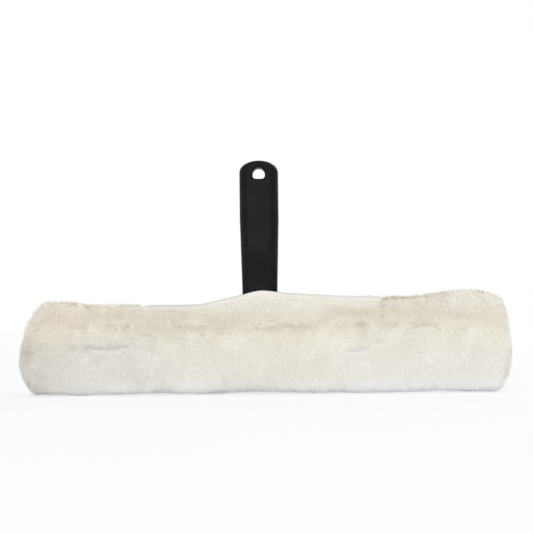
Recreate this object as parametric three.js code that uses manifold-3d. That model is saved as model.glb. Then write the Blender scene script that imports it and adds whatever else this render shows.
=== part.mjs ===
// Window strip washer: a T-bar with a moulded handle, dressed in a pile fabric washing sleeve.
// Millimetres. +Z up, +X to the right seen from the front, and the front faces -Y.
// The origin is on the sleeve's flat underside, below the handle's axis.

import * as THREE from 'three';
import { mergeVertices } from 'three/addons/utils/BufferGeometryUtils.js';
import Module from 'manifold-3d';

const wasm = await Module();
wasm.setup();

// Gaps between pieces, how far a cut runs past what it cuts, and how near two points are one
const gap = { seat: 0.3, cloth: 0.4, overrun: 3, merge: 0.0001 };

// Crossbar: flattened aluminium tube with a middle web and water slots
const bar = {
  length: 322,
  height: 34,
  thickness: 12,
  edgeRadius: 5,
  wall: 1.5,
  web: 1.5,
  slotLength: 15,
  slotHeight: 5,
  slotMargin: 8,
  slotPitch: 20.2,
};

// End plugs: a rounded nose outside the bar and two prongs in its chambers
const plug = { nose: 6, noseRound: 4, prong: 14, prongTaperWidth: 0.6, prongRadius: 2.5 };

// Handle: hollow moulding, open at its foot, with a domed end
const handle = {
  length: 119,
  width: 28,
  depth: 20,
  straight: 42,
  neckWidth: 25.4,
  neckDepth: 14,
  neck: 27,
  swell: 30,
  wall: 2.6,
  solidEnd: 17,
  domeRise: 4.9,
  domeCorner: 2,
  domeRound: 3.6,
  squareness: 2.9,
};

// Hang hole: flat sill, round top, and flared rims
const hangHole = { width: 8.8, height: 8.7, belowTip: 4.8, flareWidth: 0.9, flareDepth: 1.4 };

// Foot: the saddle that the handle grips the bar with, and the gusset webs above it
const foot = {
  halfWidth: 50,
  flatHalfWidth: 32,
  cheek: 2.6,
  cheekDrop: 24,
  cornerDrop: 12,
  bridge: 2.8,
  web: 7,
  webRise: 20,
  roofStart: 3,
  roofRise: 6,
};

// Blind rivets through the foot's cheeks and the bar
const rivet = { shank: 4, head: 8, headRise: 1.3, fromTop: 9, fromFootEnd: 16 };

// Sleeve: pile fabric tube round the bar, with a ridge along the top where its two edges meet
const sleeve = {
  under: 14,
  depth: 46,
  bodyTop: 54,
  bodySink: 1.6,
  bodySquareness: 2.7,
  ridgeThickness: 17,
  ridgeRound: 4,
  leftHeight: 65,
  rightHeight: 69.6,
  humpRise: 4.2,
  humpLeft: 45,
  humpRight: 50,
  neckRise: 2.6,
  neckRiseReach: 14,
  leftSwell: 2,
  leftSwellReach: 30,
  leftSwellFromEnd: 26,
  rightSwell: 5,
  rightSwellReach: 45,
  rightSwellFromEnd: 34,
  shoulderDrop: 6,
  shoulderReach: 22,
};

// Ends of the sleeve: the wall beyond the bar's plugs, and the rounding above and below its middle
const leftEnd = { wall: 7.8, upper: 21, lower: 13, middle: 25, squareness: 1.65 };
const rightEnd = { wall: 12.6, upper: 8, lower: 15, middle: 29, squareness: 2.05 };
const endBlend = 14; // height over which the rounding above passes into the one below
const tipShare = 0.97; // how far into its rounding curve an end goes before its flat tip
const endSlimShare = 0.9; // how much less an end narrows front to back than top to bottom
const roundingShares = [0, 0.1, 0.25, 0.45, 0.7, 1];

// Slit and lips: the sleeve's two free edges, which peel apart from the handle outwards
const lip = {
  halfLength: 88,
  thickness: 6,
  neckThickness: 4.2,
  swellDepth: 0.8,
  rootRise: 4.7,
  hingeOut: 6.6,
  meeting: 2.5,
  meetingStart: 60,
  neckBlend: 10,
  neckFlatShare: 0.63, // of the neck's half width, over which a lip runs straight
};
const peelAngle = 45; // degrees that a lip turns outwards
const hem = { thickness: 0.8, leg: 5 };
const tape = { length: 24, height: 7, thickness: 2, corner: 1, aboveRoot: 1.2 };

// Mesh fineness
const steps = { ring: 32, arc: 4, slot: 2, arch: 8, rivet: 16, side: 10, ridge: 3, lip: 28, lengthwise: 22 };

// Places that several pieces share
const barBottom = sleeve.under + gap.seat;
const barTop = barBottom + bar.height;
const barMiddle = barBottom + bar.height / 2;
const barEnd = bar.length / 2;
const tipZ = barTop + handle.length;
const neckTop = barTop + handle.neck;
const footThickness = bar.thickness + 2 * (gap.seat + foot.cheek);
const footTop = barTop + gap.seat + foot.bridge;
const cheekBottom = barTop - foot.cheekDrop;
const rivetX = foot.halfWidth - rivet.fromFootEnd;
const rivetPlaces = [-rivetX, rivetX];
const rivetZ = barTop - rivet.fromTop;
const rootZ = barTop + lip.rootRise;
const capPlane = barEnd + plug.nose + gap.cloth;
const leftReach = capPlane + leftEnd.wall;
const rightReach = capPlane + rightEnd.wall;

// A closed geometry as a manifold-3d solid, and back again
function solidOf(geometry) {
  const bare = geometry.clone();
  bare.deleteAttribute('normal');
  bare.deleteAttribute('uv');
  const merged = mergeVertices(bare, gap.merge);
  return new wasm.Manifold(
    new wasm.Mesh({
      numProp: 3,
      vertProperties: merged.attributes.position.array,
      triVerts: new Uint32Array(merged.index.array),
    }),
  );
}

function geometryOf(solid) {
  const mesh = solid.getMesh();
  const geometry = new THREE.BufferGeometry();
  geometry.setAttribute('position', new THREE.BufferAttribute(mesh.vertProperties, 3));
  geometry.setIndex(new THREE.BufferAttribute(mesh.triVerts, 1));
  geometry.computeVertexNormals();
  return geometry;
}

// Ways to lay a section's own (u, v) at a place along an axis; each section runs anticlockwise
const alongX = (at, u, v) => [at, u, v];
const alongY = (at, u, v) => [v, at, u];
const alongZ = (at, u, v) => [u, v, at];

// A solid through sections with the same number of points
function loft(sections, lay) {
  const count = sections[0].ring.length;
  const positions = sections.flatMap(({ at, ring }) => ring.flatMap((p) => lay(at, p.x, p.y)));
  const faces = [];
  for (let k = 0; k + 1 < sections.length; k++) {
    for (let i = 0; i < count; i++) {
      const a = k * count + i;
      const b = k * count + ((i + 1) % count);
      faces.push(a, b, b + count, a, b + count, a + count);
    }
  }
  const last = (sections.length - 1) * count;
  const cap = (section) => THREE.ShapeUtils.triangulateShape(section.ring, []);
  for (const [a, b, c] of cap(sections[0])) faces.push(c, b, a);
  for (const [a, b, c] of cap(sections.at(-1))) faces.push(last + a, last + b, last + c);
  const geometry = new THREE.BufferGeometry();
  geometry.setAttribute('position', new THREE.Float32BufferAttribute(positions, 3));
  geometry.setIndex(faces);
  return solidOf(geometry);
}

// A flat outline pushed along X (outline in Y, Z) or along Y (outline in X, Z)
function extrude(shape, depth, basis, curveSegments) {
  const geometry = new THREE.ExtrudeGeometry(shape, { depth, bevelEnabled: false, curveSegments });
  return solidOf(geometry.applyMatrix4(basis));
}

function extrudeX(shape, from, to, segments = steps.arc) {
  const basis = new THREE.Matrix4().makeBasis(
    new THREE.Vector3(0, 1, 0),
    new THREE.Vector3(0, 0, 1),
    new THREE.Vector3(1, 0, 0),
  );
  return extrude(shape, to - from, basis.setPosition(from, 0, 0), segments);
}

function extrudeY(shape, from, to, segments = steps.arc) {
  const basis = new THREE.Matrix4().makeBasis(
    new THREE.Vector3(1, 0, 0),
    new THREE.Vector3(0, 0, 1),
    new THREE.Vector3(0, -1, 0),
  );
  return extrude(shape, to - from, basis.setPosition(0, to, 0), segments);
}

// Outlines
function roundedBox(left, right, low, high, radius) {
  const shape = new THREE.Shape();
  shape.absarc(right - radius, low + radius, radius, -Math.PI / 2, 0);
  shape.absarc(right - radius, high - radius, radius, 0, Math.PI / 2);
  shape.absarc(left + radius, high - radius, radius, Math.PI / 2, Math.PI);
  shape.absarc(left + radius, low + radius, radius, Math.PI, 1.5 * Math.PI);
  shape.closePath();
  return shape;
}

function polygon(points) {
  return new THREE.Shape(points.map(([x, y]) => new THREE.Vector2(x, y)));
}

// Rounded oval ring; a squareness of 2 is an ellipse, and more is boxier
function ovalRing(halfWidth, halfDepth, squareness, count) {
  return Array.from({ length: count }, (_, i) => {
    const turn = (2 * Math.PI * i) / count;
    return ovalPoint(halfWidth, halfDepth, squareness, turn);
  });
}

function ovalPoint(halfWidth, halfHeight, squareness, turn) {
  const power = (value) => Math.sign(value) * Math.abs(value) ** (2 / squareness);
  return new THREE.Vector2(halfWidth * power(Math.cos(turn)), halfHeight * power(Math.sin(turn)));
}

// 0 before the start, 1 past the end, and a soft rise between
const softStep = (start, end, value) => THREE.MathUtils.smoothstep(value, start, end);
// 1 at the middle and 0 from the reach outwards
const bell = (distance, reach) => Math.max(0, 1 - (distance / reach) ** 2) ** 2;
const evenly = (from, to, count) =>
  Array.from({ length: count + 1 }, (_, i) => from + ((to - from) * i) / count);

// Crossbar
function barOutline(grow) {
  const half = bar.thickness / 2 + grow;
  return roundedBox(-half, half, barBottom - grow, barTop + grow, bar.edgeRadius + grow);
}

// One chamber of the tube, above (side 1) or below (side -1) its middle web
function chamberOutline(side, shrink, radius) {
  const half = bar.thickness / 2 - bar.wall - shrink;
  const near = barMiddle + side * (bar.web / 2 + shrink);
  const far = barMiddle + side * (bar.height / 2 - bar.wall - shrink);
  return roundedBox(-half, half, Math.min(near, far), Math.max(near, far), radius);
}

function makeBar() {
  const profile = barOutline(0);
  const innerRadius = bar.edgeRadius - bar.wall;
  profile.holes.push(chamberOutline(1, 0, innerRadius), chamberOutline(-1, 0, innerRadius));
  const cuts = rivetPlaces.map((x) => rivetBore(x));
  const firstSlot = foot.halfWidth + bar.slotMargin;
  const lastSlot = barEnd - plug.prong - bar.slotMargin;
  const slotsPerSide = Math.floor((lastSlot - firstSlot) / bar.slotPitch);
  const rise = (bar.height - bar.web) / 4;
  const half = bar.thickness / 2 + gap.overrun;
  for (const side of [-1, 1]) {
    for (let i = 0; i < slotsPerSide; i++) {
      const x = side * (firstSlot + bar.slotPitch * (i + 0.5));
      for (const z of [barMiddle - rise, barMiddle + rise]) {
        const slot = roundedBox(
          x - bar.slotLength / 2,
          x + bar.slotLength / 2,
          z - bar.slotHeight / 2,
          z + bar.slotHeight / 2,
          bar.slotHeight / 2 - gap.seat,
        );
        cuts.push(extrudeY(slot, -half, half, steps.slot));
      }
    }
  }
  return wasm.Manifold.difference([extrudeX(profile, -barEnd, barEnd), ...cuts]);
}

// End plug on the right; the left one is its mirror image
function makePlug() {
  const start = barEnd + gap.seat;
  const outer = (shrink) => ({
    half: bar.thickness / 2 - shrink,
    rise: bar.height / 2 - shrink,
    radius: Math.max(bar.edgeRadius - shrink, gap.seat),
  });
  const ring = ({ half, rise, radius }) => {
    const low = barMiddle - rise;
    return roundedBox(-half, half, low, barMiddle + rise, radius).getPoints(steps.arc);
  };
  const sections = [{ at: start, ring: ring(outer(0)) }];
  for (const turn of evenly(0, Math.PI / 2, steps.arc)) {
    const at = barEnd + plug.nose - plug.noseRound * (1 - Math.sin(turn));
    sections.push({ at, ring: ring(outer(plug.noseRound * (1 - Math.cos(turn)))) });
  }
  const closed = sections.map(({ at, ring: points }) => ({ at, ring: withoutRepeats(points) }));
  const nose = loft(closed, alongX);
  const prongs = [-1, 1].map((side) => {
    const tip = chamberOutline(side, gap.seat + plug.prongTaperWidth, plug.prongRadius);
    const root = chamberOutline(side, gap.seat, plug.prongRadius);
    return loft(
      [
        { at: barEnd - plug.prong, ring: withoutRepeats(tip.getPoints(steps.arc)) },
        { at: start + gap.overrun / 2, ring: withoutRepeats(root.getPoints(steps.arc)) },
      ],
      alongX,
    );
  });
  return wasm.Manifold.union([nose, ...prongs]);
}

// An outline's points without the ones that lie on the next
function withoutRepeats(points) {
  return points.filter((p, i) => p.distanceTo(points[(i + 1) % points.length]) > gap.merge);
}

function rivetBore(x) {
  const hole = new THREE.Shape();
  hole.absarc(x, rivetZ, rivet.shank / 2 + gap.seat, 0, 2 * Math.PI);
  const reach = footThickness / 2 + gap.overrun;
  return extrudeY(hole, -reach, reach);
}

// A rivet is turned about its shank, with a domed head at each cheek
function makeRivet(x) {
  const seat = footThickness / 2 + gap.seat;
  const headRadius = rivet.head / 2;
  const dome = evenly(0, Math.PI / 2, steps.ridge).map(
    (turn) =>
      new THREE.Vector2(
        headRadius * Math.cos(turn),
        seat + rivet.headRise * Math.sin(turn),
      ),
  );
  const upper = [new THREE.Vector2(rivet.shank / 2, seat), ...dome];
  const lower = upper.map((p) => new THREE.Vector2(p.x, -p.y)).reverse();
  const onAxis = (points) => points.map((p) => (p.x < gap.merge ? new THREE.Vector2(0, p.y) : p));
  const profile = onAxis([...lower, ...upper]);
  return solidOf(new THREE.LatheGeometry(profile, steps.rivet).translate(x, 0, rivetZ));
}

// Handle
function gripSections(shrink, from, to) {
  const straightStart = tipZ - handle.straight;
  const levels = [from, ...evenly(neckTop, neckTop + handle.swell, steps.arch), straightStart, to];
  return levels.map((at) => {
    const wide = THREE.MathUtils.clamp((at - neckTop) / (straightStart - neckTop), 0, 1);
    const deep = softStep(neckTop, neckTop + handle.swell, at);
    const width = THREE.MathUtils.lerp(handle.neckWidth, handle.width, wide);
    const depth = THREE.MathUtils.lerp(handle.neckDepth, handle.depth, deep);
    return {
      at,
      ring: ovalRing(width / 2 - shrink, depth / 2 - shrink, handle.squareness, steps.ring),
    };
  });
}

// Arched outline of the grip's end, in X and Z
function domeOutline() {
  const half = handle.width / 2;
  const spring = tipZ - handle.domeRise;
  const radius = (half ** 2 + handle.domeRise ** 2) / (2 * handle.domeRise);
  const centre = tipZ - radius;
  const swing = Math.asin((half - handle.domeCorner) / radius);
  const side = half + gap.overrun;
  const shape = new THREE.Shape();
  shape.moveTo(-side, barBottom);
  shape.lineTo(side, barBottom);
  shape.lineTo(side, spring - handle.domeCorner);
  shape.lineTo(half, spring - handle.domeCorner);
  shape.quadraticCurveTo(half, spring, radius * Math.sin(swing), centre + radius * Math.cos(swing));
  shape.absarc(0, centre, radius, Math.PI / 2 - swing, Math.PI / 2 + swing);
  shape.quadraticCurveTo(-half, spring, -half, spring - handle.domeCorner);
  shape.lineTo(-side, spring - handle.domeCorner);
  return shape;
}

// The grip's end seen from the side, in Y and Z, with its front and back edges rounded over
function domeSideOutline() {
  const half = handle.depth / 2;
  return roundedBox(-half, half, barBottom, tipZ, handle.domeRound);
}

// Hang hole cutter: flat sill and round top, wider at both faces
function hangHoleCutter() {
  const half = handle.depth / 2;
  const top = tipZ - hangHole.belowTip;
  const sill = top - hangHole.height;
  const ring = (grow) => {
    const radius = hangHole.width / 2 + grow;
    const centre = top - hangHole.width / 2;
    const arch = evenly(0, Math.PI, steps.arch).map(
      (turn) => new THREE.Vector2(centre + radius * Math.sin(turn), -radius * Math.cos(turn)),
    );
    const low = sill - grow;
    return [new THREE.Vector2(low, -radius), ...arch, new THREE.Vector2(low, radius)];
  };
  const outer = half + gap.overrun;
  const flareAtRim = (hangHole.flareWidth * (hangHole.flareDepth + gap.overrun)) / hangHole.flareDepth;
  return loft(
    [
      { at: -outer, ring: ring(flareAtRim) },
      { at: hangHole.flareDepth - half, ring: ring(0) },
      { at: half - hangHole.flareDepth, ring: ring(0) },
      { at: outer, ring: ring(flareAtRim) },
    ],
    alongY,
  );
}

// The foot's cheeks and bridge seen from the front, in X and Z
function cheekOutline(grow) {
  const outer = foot.halfWidth + grow;
  const inner = foot.flatHalfWidth + grow;
  const bottom = cheekBottom - grow;
  const corner = barTop - foot.cornerDrop;
  const shape = new THREE.Shape();
  shape.moveTo(-inner, bottom);
  shape.lineTo(inner, bottom);
  shape.quadraticCurveTo(outer, bottom, outer, corner);
  shape.lineTo(outer, footTop + foot.roofRise);
  shape.lineTo(-outer, footTop + foot.roofRise);
  shape.lineTo(-outer, corner);
  shape.quadraticCurveTo(-outer, bottom, -inner, bottom);
  return shape;
}

// The foot from its end, in Y and Z: upright cheeks under a roof that slopes in to the web
function roofOutline(grow) {
  const half = footThickness / 2 + grow;
  const web = foot.web / 2 + grow;
  return polygon([
    [-half, cheekBottom - gap.overrun],
    [half, cheekBottom - gap.overrun],
    [half, barTop - foot.roofStart + grow],
    [web, barTop + foot.roofRise - foot.roofStart + grow],
    [-web, barTop + foot.roofRise - foot.roofStart + grow],
    [-half, barTop - foot.roofStart + grow],
  ]);
}

// Gusset webs that run from the neck down to the foot's ends, in X and Z
function webOutline() {
  const start = handle.neckWidth / 2 - handle.wall;
  const low = barTop + gap.seat;
  const shape = new THREE.Shape();
  shape.moveTo(-foot.halfWidth, low);
  shape.lineTo(foot.halfWidth, low);
  shape.lineTo(foot.halfWidth, footTop);
  shape.quadraticCurveTo(handle.neckWidth / 2 + foot.webRise / 2, footTop, start, barTop + foot.webRise);
  shape.lineTo(-start, barTop + foot.webRise);
  shape.quadraticCurveTo(-handle.neckWidth / 2 - foot.webRise / 2, footTop, -foot.halfWidth, footTop);
  return shape;
}

function makeHandle() {
  const reach = handle.depth / 2 + gap.overrun;
  const side = foot.halfWidth + gap.overrun;
  const grip = loft(gripSections(0, barTop + gap.seat, tipZ + gap.overrun), alongZ)
    .intersect(extrudeY(domeOutline(), -reach, reach))
    .intersect(extrudeX(domeSideOutline(), -side, side));
  const saddle = extrudeY(cheekOutline(0), -footThickness / 2, footThickness / 2).intersect(
    extrudeX(roofOutline(0), -side, side),
  );
  const web = extrudeY(webOutline(), -foot.web / 2, foot.web / 2);
  const hollow = loft(gripSections(handle.wall, barMiddle, tipZ - handle.solidEnd), alongZ);
  const channel = extrudeX(barOutline(gap.seat), -side, side);
  return wasm.Manifold.difference([
    wasm.Manifold.union([grip, saddle, web]),
    hollow,
    channel,
    hangHoleCutter(),
    ...rivetPlaces.map((x) => rivetBore(x)),
  ]);
}

// Height of the sleeve's top edge over the floor, before its ends are rounded
function topLine(x) {
  const plain = THREE.MathUtils.lerp(
    sleeve.leftHeight,
    sleeve.rightHeight,
    softStep(-sleeve.humpLeft, sleeve.humpLeft, x),
  );
  const hump = sleeve.humpRise * bell(x, x < 0 ? sleeve.humpLeft : sleeve.humpRight);
  const neck = sleeve.neckRise * bell(x, sleeve.neckRiseReach);
  const left = bell(x + leftReach - sleeve.leftSwellFromEnd, sleeve.leftSwellReach);
  const right = bell(x - rightReach + sleeve.rightSwellFromEnd, sleeve.rightSwellReach);
  const shoulder = THREE.MathUtils.clamp(1 + (x - rightReach) / sleeve.shoulderReach, 0, 1);
  const swell = sleeve.leftSwell * left + sleeve.rightSwell * right;
  return plain + hump + neck + swell - sleeve.shoulderDrop * shoulder;
}

// How much of its full height a section keeps in an end that is rounded over this length
function endShare(x, round) {
  const squareness = x < 0 ? leftEnd.squareness : rightEnd.squareness;
  const reach = x < 0 ? leftReach : rightReach;
  const into = tipShare * THREE.MathUtils.clamp(1 + (Math.abs(x) - reach) / round, 0, 1);
  return (1 - into ** squareness) ** (1 / squareness);
}

// One cross-section of the sleeve: an oval body, flat underneath, with the ridge on top
function sleeveRing(x) {
  const half = sleeve.depth / 2;
  const rise = (sleeve.bodyTop + sleeve.bodySink) / 2;
  const centre = sleeve.bodyTop - rise;
  const ridge = sleeve.ridgeThickness / 2;
  const turnAtRidge = Math.acos((ridge / half) ** (sleeve.bodySquareness / 2));
  const body = evenly(-Math.PI / 2, turnAtRidge, steps.side).map((turn) => {
    const p = ovalPoint(half, rise, sleeve.bodySquareness, turn);
    return new THREE.Vector2(p.x, Math.max(0, centre + p.y));
  });
  const top = topLine(x);
  const round = evenly(0, Math.PI / 2, steps.ridge).map(
    (turn) =>
      new THREE.Vector2(
        ridge - sleeve.ridgeRound * (1 - Math.cos(turn)),
        top - sleeve.ridgeRound * (1 - Math.sin(turn)),
      ),
  );
  const rear = [...body.slice(1), ...round];
  const front = rear.map((p) => new THREE.Vector2(-p.x, p.y)).reverse();
  const { upper, lower, middle } = x < 0 ? leftEnd : rightEnd;
  const above = endShare(x, upper);
  const below = endShare(x, lower);
  return [...rear, ...front].map((p) => {
    const slim = THREE.MathUtils.lerp(below, above, softStep(middle - endBlend, middle + endBlend, p.y));
    const share = p.y > middle ? above : below;
    return new THREE.Vector2(p.x * slim ** endSlimShare, middle + (p.y - middle) * share);
  });
}

function sleeveLoft(places) {
  const ordered = [...new Set(places)].sort((a, b) => a - b);
  return loft(
    ordered.map((at) => ({ at, ring: sleeveRing(at) })),
    alongX,
  );
}

// Where the rounded ends take their sections
const roundOf = ({ upper, lower }) => Math.max(upper, lower);
const leftPlaces = roundingShares.map((share) => share * roundOf(leftEnd) - leftReach);
const rightPlaces = roundingShares.map((share) => rightReach - share * roundOf(rightEnd));

// Half the room between the lips, which widens where they pass the web and the neck
function lipInner(x) {
  const past = Math.abs(x);
  const neckHalf = (handle.neckWidth / 2) * lip.neckFlatShare;
  const atNeck = handle.neckDepth / 2 + gap.cloth;
  const atWeb = foot.web / 2 + gap.cloth;
  const offNeck = softStep(neckHalf, neckHalf + lip.neckBlend, past);
  const offWeb = softStep(foot.halfWidth, lip.meetingStart, past);
  return THREE.MathUtils.lerp(THREE.MathUtils.lerp(atNeck, atWeb, offNeck), lip.meeting, offWeb);
}

function lipOuter(x) {
  const neckHalf = (handle.neckWidth / 2) * lip.neckFlatShare;
  const offNeck = softStep(neckHalf, neckHalf + lip.neckBlend, Math.abs(x));
  return lipInner(x) + THREE.MathUtils.lerp(lip.neckThickness, lip.thickness, offNeck);
}

// The tube of pile fabric round the bar, cut open along its slit
function makeTube() {
  const rounding = [...leftPlaces, ...rightPlaces].filter((x) => Math.abs(x) < capPlane);
  const outer = sleeveLoft([...evenly(-capPlane, capPlane, steps.lengthwise), ...rounding]);
  const slitHalf = lip.halfLength + gap.seat;
  const cut = rootZ - gap.seat;
  const side = sleeve.depth / 2 + gap.overrun;
  const high = sleeve.rightHeight + sleeve.humpRise + sleeve.neckRise + gap.overrun;
  const slit = extrudeX(
    polygon([
      [-side, cut],
      [side, cut],
      [side, high],
      [-side, high],
    ]),
    -slitHalf,
    slitHalf,
  );
  const throatHalf = foot.web / 2 + gap.cloth;
  const throat = extrudeX(
    polygon([
      [-throatHalf, barMiddle],
      [throatHalf, barMiddle],
      [throatHalf, high],
      [-throatHalf, high],
    ]),
    -slitHalf,
    slitHalf,
  );
  const footRoom = extrudeY(cheekOutline(gap.cloth), -side, side).intersect(
    extrudeX(roofOutline(gap.cloth), -slitHalf, slitHalf),
  );
  const neckRoom = loft(gripSections(-gap.cloth, barMiddle, tipZ), alongZ);
  const barRoom = extrudeX(barOutline(gap.cloth), -capPlane - gap.overrun, capPlane + gap.overrun);
  const headRoom = rivetPlaces.map((x) => {
    const radius = rivet.head / 2 + gap.cloth;
    const room = new THREE.Shape();
    room.absarc(x, rivetZ, radius, 0, 2 * Math.PI);
    const reach = footThickness / 2 + gap.seat + rivet.headRise + gap.cloth;
    return extrudeY(room, -reach, reach);
  });
  return wasm.Manifold.difference([
    outer,
    slit,
    throat,
    footRoom,
    neckRoom,
    barRoom,
    ...headRoom,
    ...[-1, 1].map((y) => foldGroove(y, slitHalf)),
  ]);
}

// V-shaped fold line along a lip's root, deep enough for the lip to turn down into it
function foldGroove(side, slitHalf) {
  const turn = THREE.MathUtils.degToRad(peelAngle);
  const reach = lipOuter(0) + gap.cloth - lip.hingeOut + lip.swellDepth;
  const floorOut = lip.hingeOut + reach * Math.cos(turn);
  const floorZ = rootZ - reach * Math.sin(turn);
  const wall = reach + gap.overrun;
  const points = [
    [side * lip.hingeOut, rootZ],
    [side * floorOut, floorZ],
    [side * (floorOut + wall * Math.sin(turn)), floorZ + wall * Math.cos(turn)],
    [side * lip.hingeOut, rootZ + wall],
  ];
  return extrudeX(polygon(points), -slitHalf, slitHalf);
}

// A sewn end of the sleeve, beyond the bar's plugs
function makeEnd(side) {
  const start = side * (capPlane + gap.seat);
  const places = side < 0 ? leftPlaces : rightPlaces;
  return sleeveLoft([start, ...places.filter((x) => x * side > start * side)]);
}

const lipPlaces = evenly(-lip.halfLength, lip.halfLength, steps.lip);

// A lip on the rear (side 1) or the front (side -1), with a slimmer tongue for its hem
function makeLip(side) {
  const bottom = rootZ + gap.seat / 2;
  const inset = hem.thickness + gap.seat;
  return sidedLoft(side, (x) => {
    const inner = lipInner(x);
    const outer = lipOuter(x);
    const shoulder = topLine(x) - hem.leg;
    return [
      [inner, bottom],
      [outer, bottom],
      [outer + lip.swellDepth, (bottom + shoulder) / 2],
      [outer, shoulder - gap.seat],
      [outer - inset, shoulder - gap.seat],
      [outer - inset, topLine(x) - inset],
      [inner + inset, topLine(x) - inset],
      [inner + inset, shoulder - gap.seat],
      [inner, shoulder - gap.seat],
    ];
  });
}

// A woven tape folded over a lip's edge
function makeHem(side) {
  return sidedLoft(side, (x) => {
    const inner = lipInner(x);
    const outer = lipOuter(x);
    const top = topLine(x);
    return [
      [inner, top - hem.leg],
      [inner + hem.thickness, top - hem.leg],
      [inner + hem.thickness, top - hem.thickness],
      [outer - hem.thickness, top - hem.thickness],
      [outer - hem.thickness, top - hem.leg],
      [outer, top - hem.leg],
      [outer, top],
      [inner, top],
    ];
  });
}

// Sections along a lip, mirrored to the front for side -1
function sidedLoft(side, outline) {
  const sections = lipPlaces.map((at) => {
    const ring = outline(at).map(([y, z]) => new THREE.Vector2(side * y, z));
    return { at, ring: side > 0 ? ring : ring.reverse() };
  });
  return loft(sections, alongX);
}

// Hook or loop tape on a lip's inner face, left (end -1) or right (end 1) of the web
function makeTape(side, end) {
  const middle = end * (lip.meetingStart + lip.halfLength) / 2;
  const low = rootZ + tape.aboveRoot;
  const outline = roundedBox(
    middle - tape.length / 2 + gap.seat,
    middle + tape.length / 2 - gap.seat,
    low,
    low + tape.height,
    tape.corner,
  );
  const outer = lip.meeting - gap.seat;
  const inner = outer - tape.thickness;
  return side > 0 ? extrudeY(outline, inner, outer) : extrudeY(outline, -outer, -inner);
}

// Finishes
const finish = (colour, roughness, metalness = 0) =>
  new THREE.MeshStandardMaterial({ color: colour, roughness, metalness });
const blackPlastic = finish(0x1f2023, 0.45);
const aluminium = finish(0xb9bcc0, 0.4, 0.9);
const pile = finish(0xe6e2d5, 0.95);
const cotton = finish(0xeeeae4, 0.9);
const hookNylon = finish(0xd9d8d4, 0.7);
const loopNylon = finish(0xcfcdc8, 0.9);

const washer = new THREE.Group();

function add(name, solid, material) {
  const mesh = new THREE.Mesh(geometryOf(solid), material);
  mesh.name = name;
  washer.add(mesh);
}

const rightPlug = makePlug();
add('handle', makeHandle(), blackPlastic);
add('crossbar', makeBar(), aluminium);
add('bar_plug_right', rightPlug, blackPlastic);
add('bar_plug_left', rightPlug.mirror([1, 0, 0]), blackPlastic);
add('rivet_left', makeRivet(-rivetX), aluminium);
add('rivet_right', makeRivet(rivetX), aluminium);
add('sleeve_tube', makeTube(), pile);
add('sleeve_end_left', makeEnd(-1), pile);
add('sleeve_end_right', makeEnd(1), pile);
add('front_lip', makeLip(-1), pile);
add('rear_lip', makeLip(1), pile);
add('front_hem', makeHem(-1), cotton);
add('rear_hem', makeHem(1), cotton);
add('hook_tape_left', makeTape(-1, -1), hookNylon);
add('hook_tape_right', makeTape(-1, 1), hookNylon);
add('loop_tape_left', makeTape(1, -1), loopNylon);
add('loop_tape_right', makeTape(1, 1), loopNylon);

export default washer;
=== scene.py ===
"""The looks of a window strip washer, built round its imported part. Metres, +Z up, front towards -Y."""

import contextlib
import itertools
import math

import bmesh
import bpy
import numpy as np
from mathutils import Matrix, Vector


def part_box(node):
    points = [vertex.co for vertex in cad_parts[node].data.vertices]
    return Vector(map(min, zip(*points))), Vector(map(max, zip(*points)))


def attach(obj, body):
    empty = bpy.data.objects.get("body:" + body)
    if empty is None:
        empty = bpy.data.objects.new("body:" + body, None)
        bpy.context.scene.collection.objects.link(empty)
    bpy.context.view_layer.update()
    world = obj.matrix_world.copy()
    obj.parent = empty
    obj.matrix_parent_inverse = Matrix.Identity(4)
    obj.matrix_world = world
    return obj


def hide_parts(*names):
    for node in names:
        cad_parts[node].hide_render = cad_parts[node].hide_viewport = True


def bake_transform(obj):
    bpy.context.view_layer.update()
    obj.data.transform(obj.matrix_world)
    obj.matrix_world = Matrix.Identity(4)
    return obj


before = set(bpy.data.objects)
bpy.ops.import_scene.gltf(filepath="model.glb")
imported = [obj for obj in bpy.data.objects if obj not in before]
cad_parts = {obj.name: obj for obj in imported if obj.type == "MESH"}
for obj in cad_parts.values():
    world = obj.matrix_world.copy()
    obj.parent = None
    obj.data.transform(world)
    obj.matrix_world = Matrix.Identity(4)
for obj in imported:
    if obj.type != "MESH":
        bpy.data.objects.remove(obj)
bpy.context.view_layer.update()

MM = 0.001
ROOT, FRONT_FLAP, REAR_FLAP = "t_bar_and_sleeve", "front_flap", "rear_flap"

# Photograph: pixels across, metres a pixel, and what the middle of the frame looks at
PHOTO_PIXELS = 533
PIXEL = 0.722 * MM
LOOK_AT = Vector((4.9 * MM, 0, 91.3 * MM))
LENS, SENSOR = 85, 36
ROLL = math.radians(0.6)

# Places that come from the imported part
PROUD = 1.5 * MM
SLEEVE_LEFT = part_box("sleeve_end_left")[0].x
SLEEVE_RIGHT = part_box("sleeve_end_right")[1].x + PROUD
HALF_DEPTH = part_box("sleeve_tube")[1].y
LIP_ROOT, SLIT_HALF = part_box("rear_lip")[0].z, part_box("rear_lip")[1].x
BAR_LOW, BAR_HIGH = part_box("crossbar")
HANDLE_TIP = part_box("handle")[1].z

# Colours of the pile, as the photograph shows them, with painted shade and painted light among them. Heights
# of the fold, along which a darker band of shade is painted: X and Z in millimetres
FOLD_HEIGHTS = [
    (-155, 51), (-135, 52.5), (-115, 55.5), (-50, 55.5), (-15, 51.5), (45, 51.5), (62, 57.5), (115, 58),
    (135, 54.5),
]
FOLD_SPAN, FOLD_SCALE = 180 * MM, 100 * MM
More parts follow.
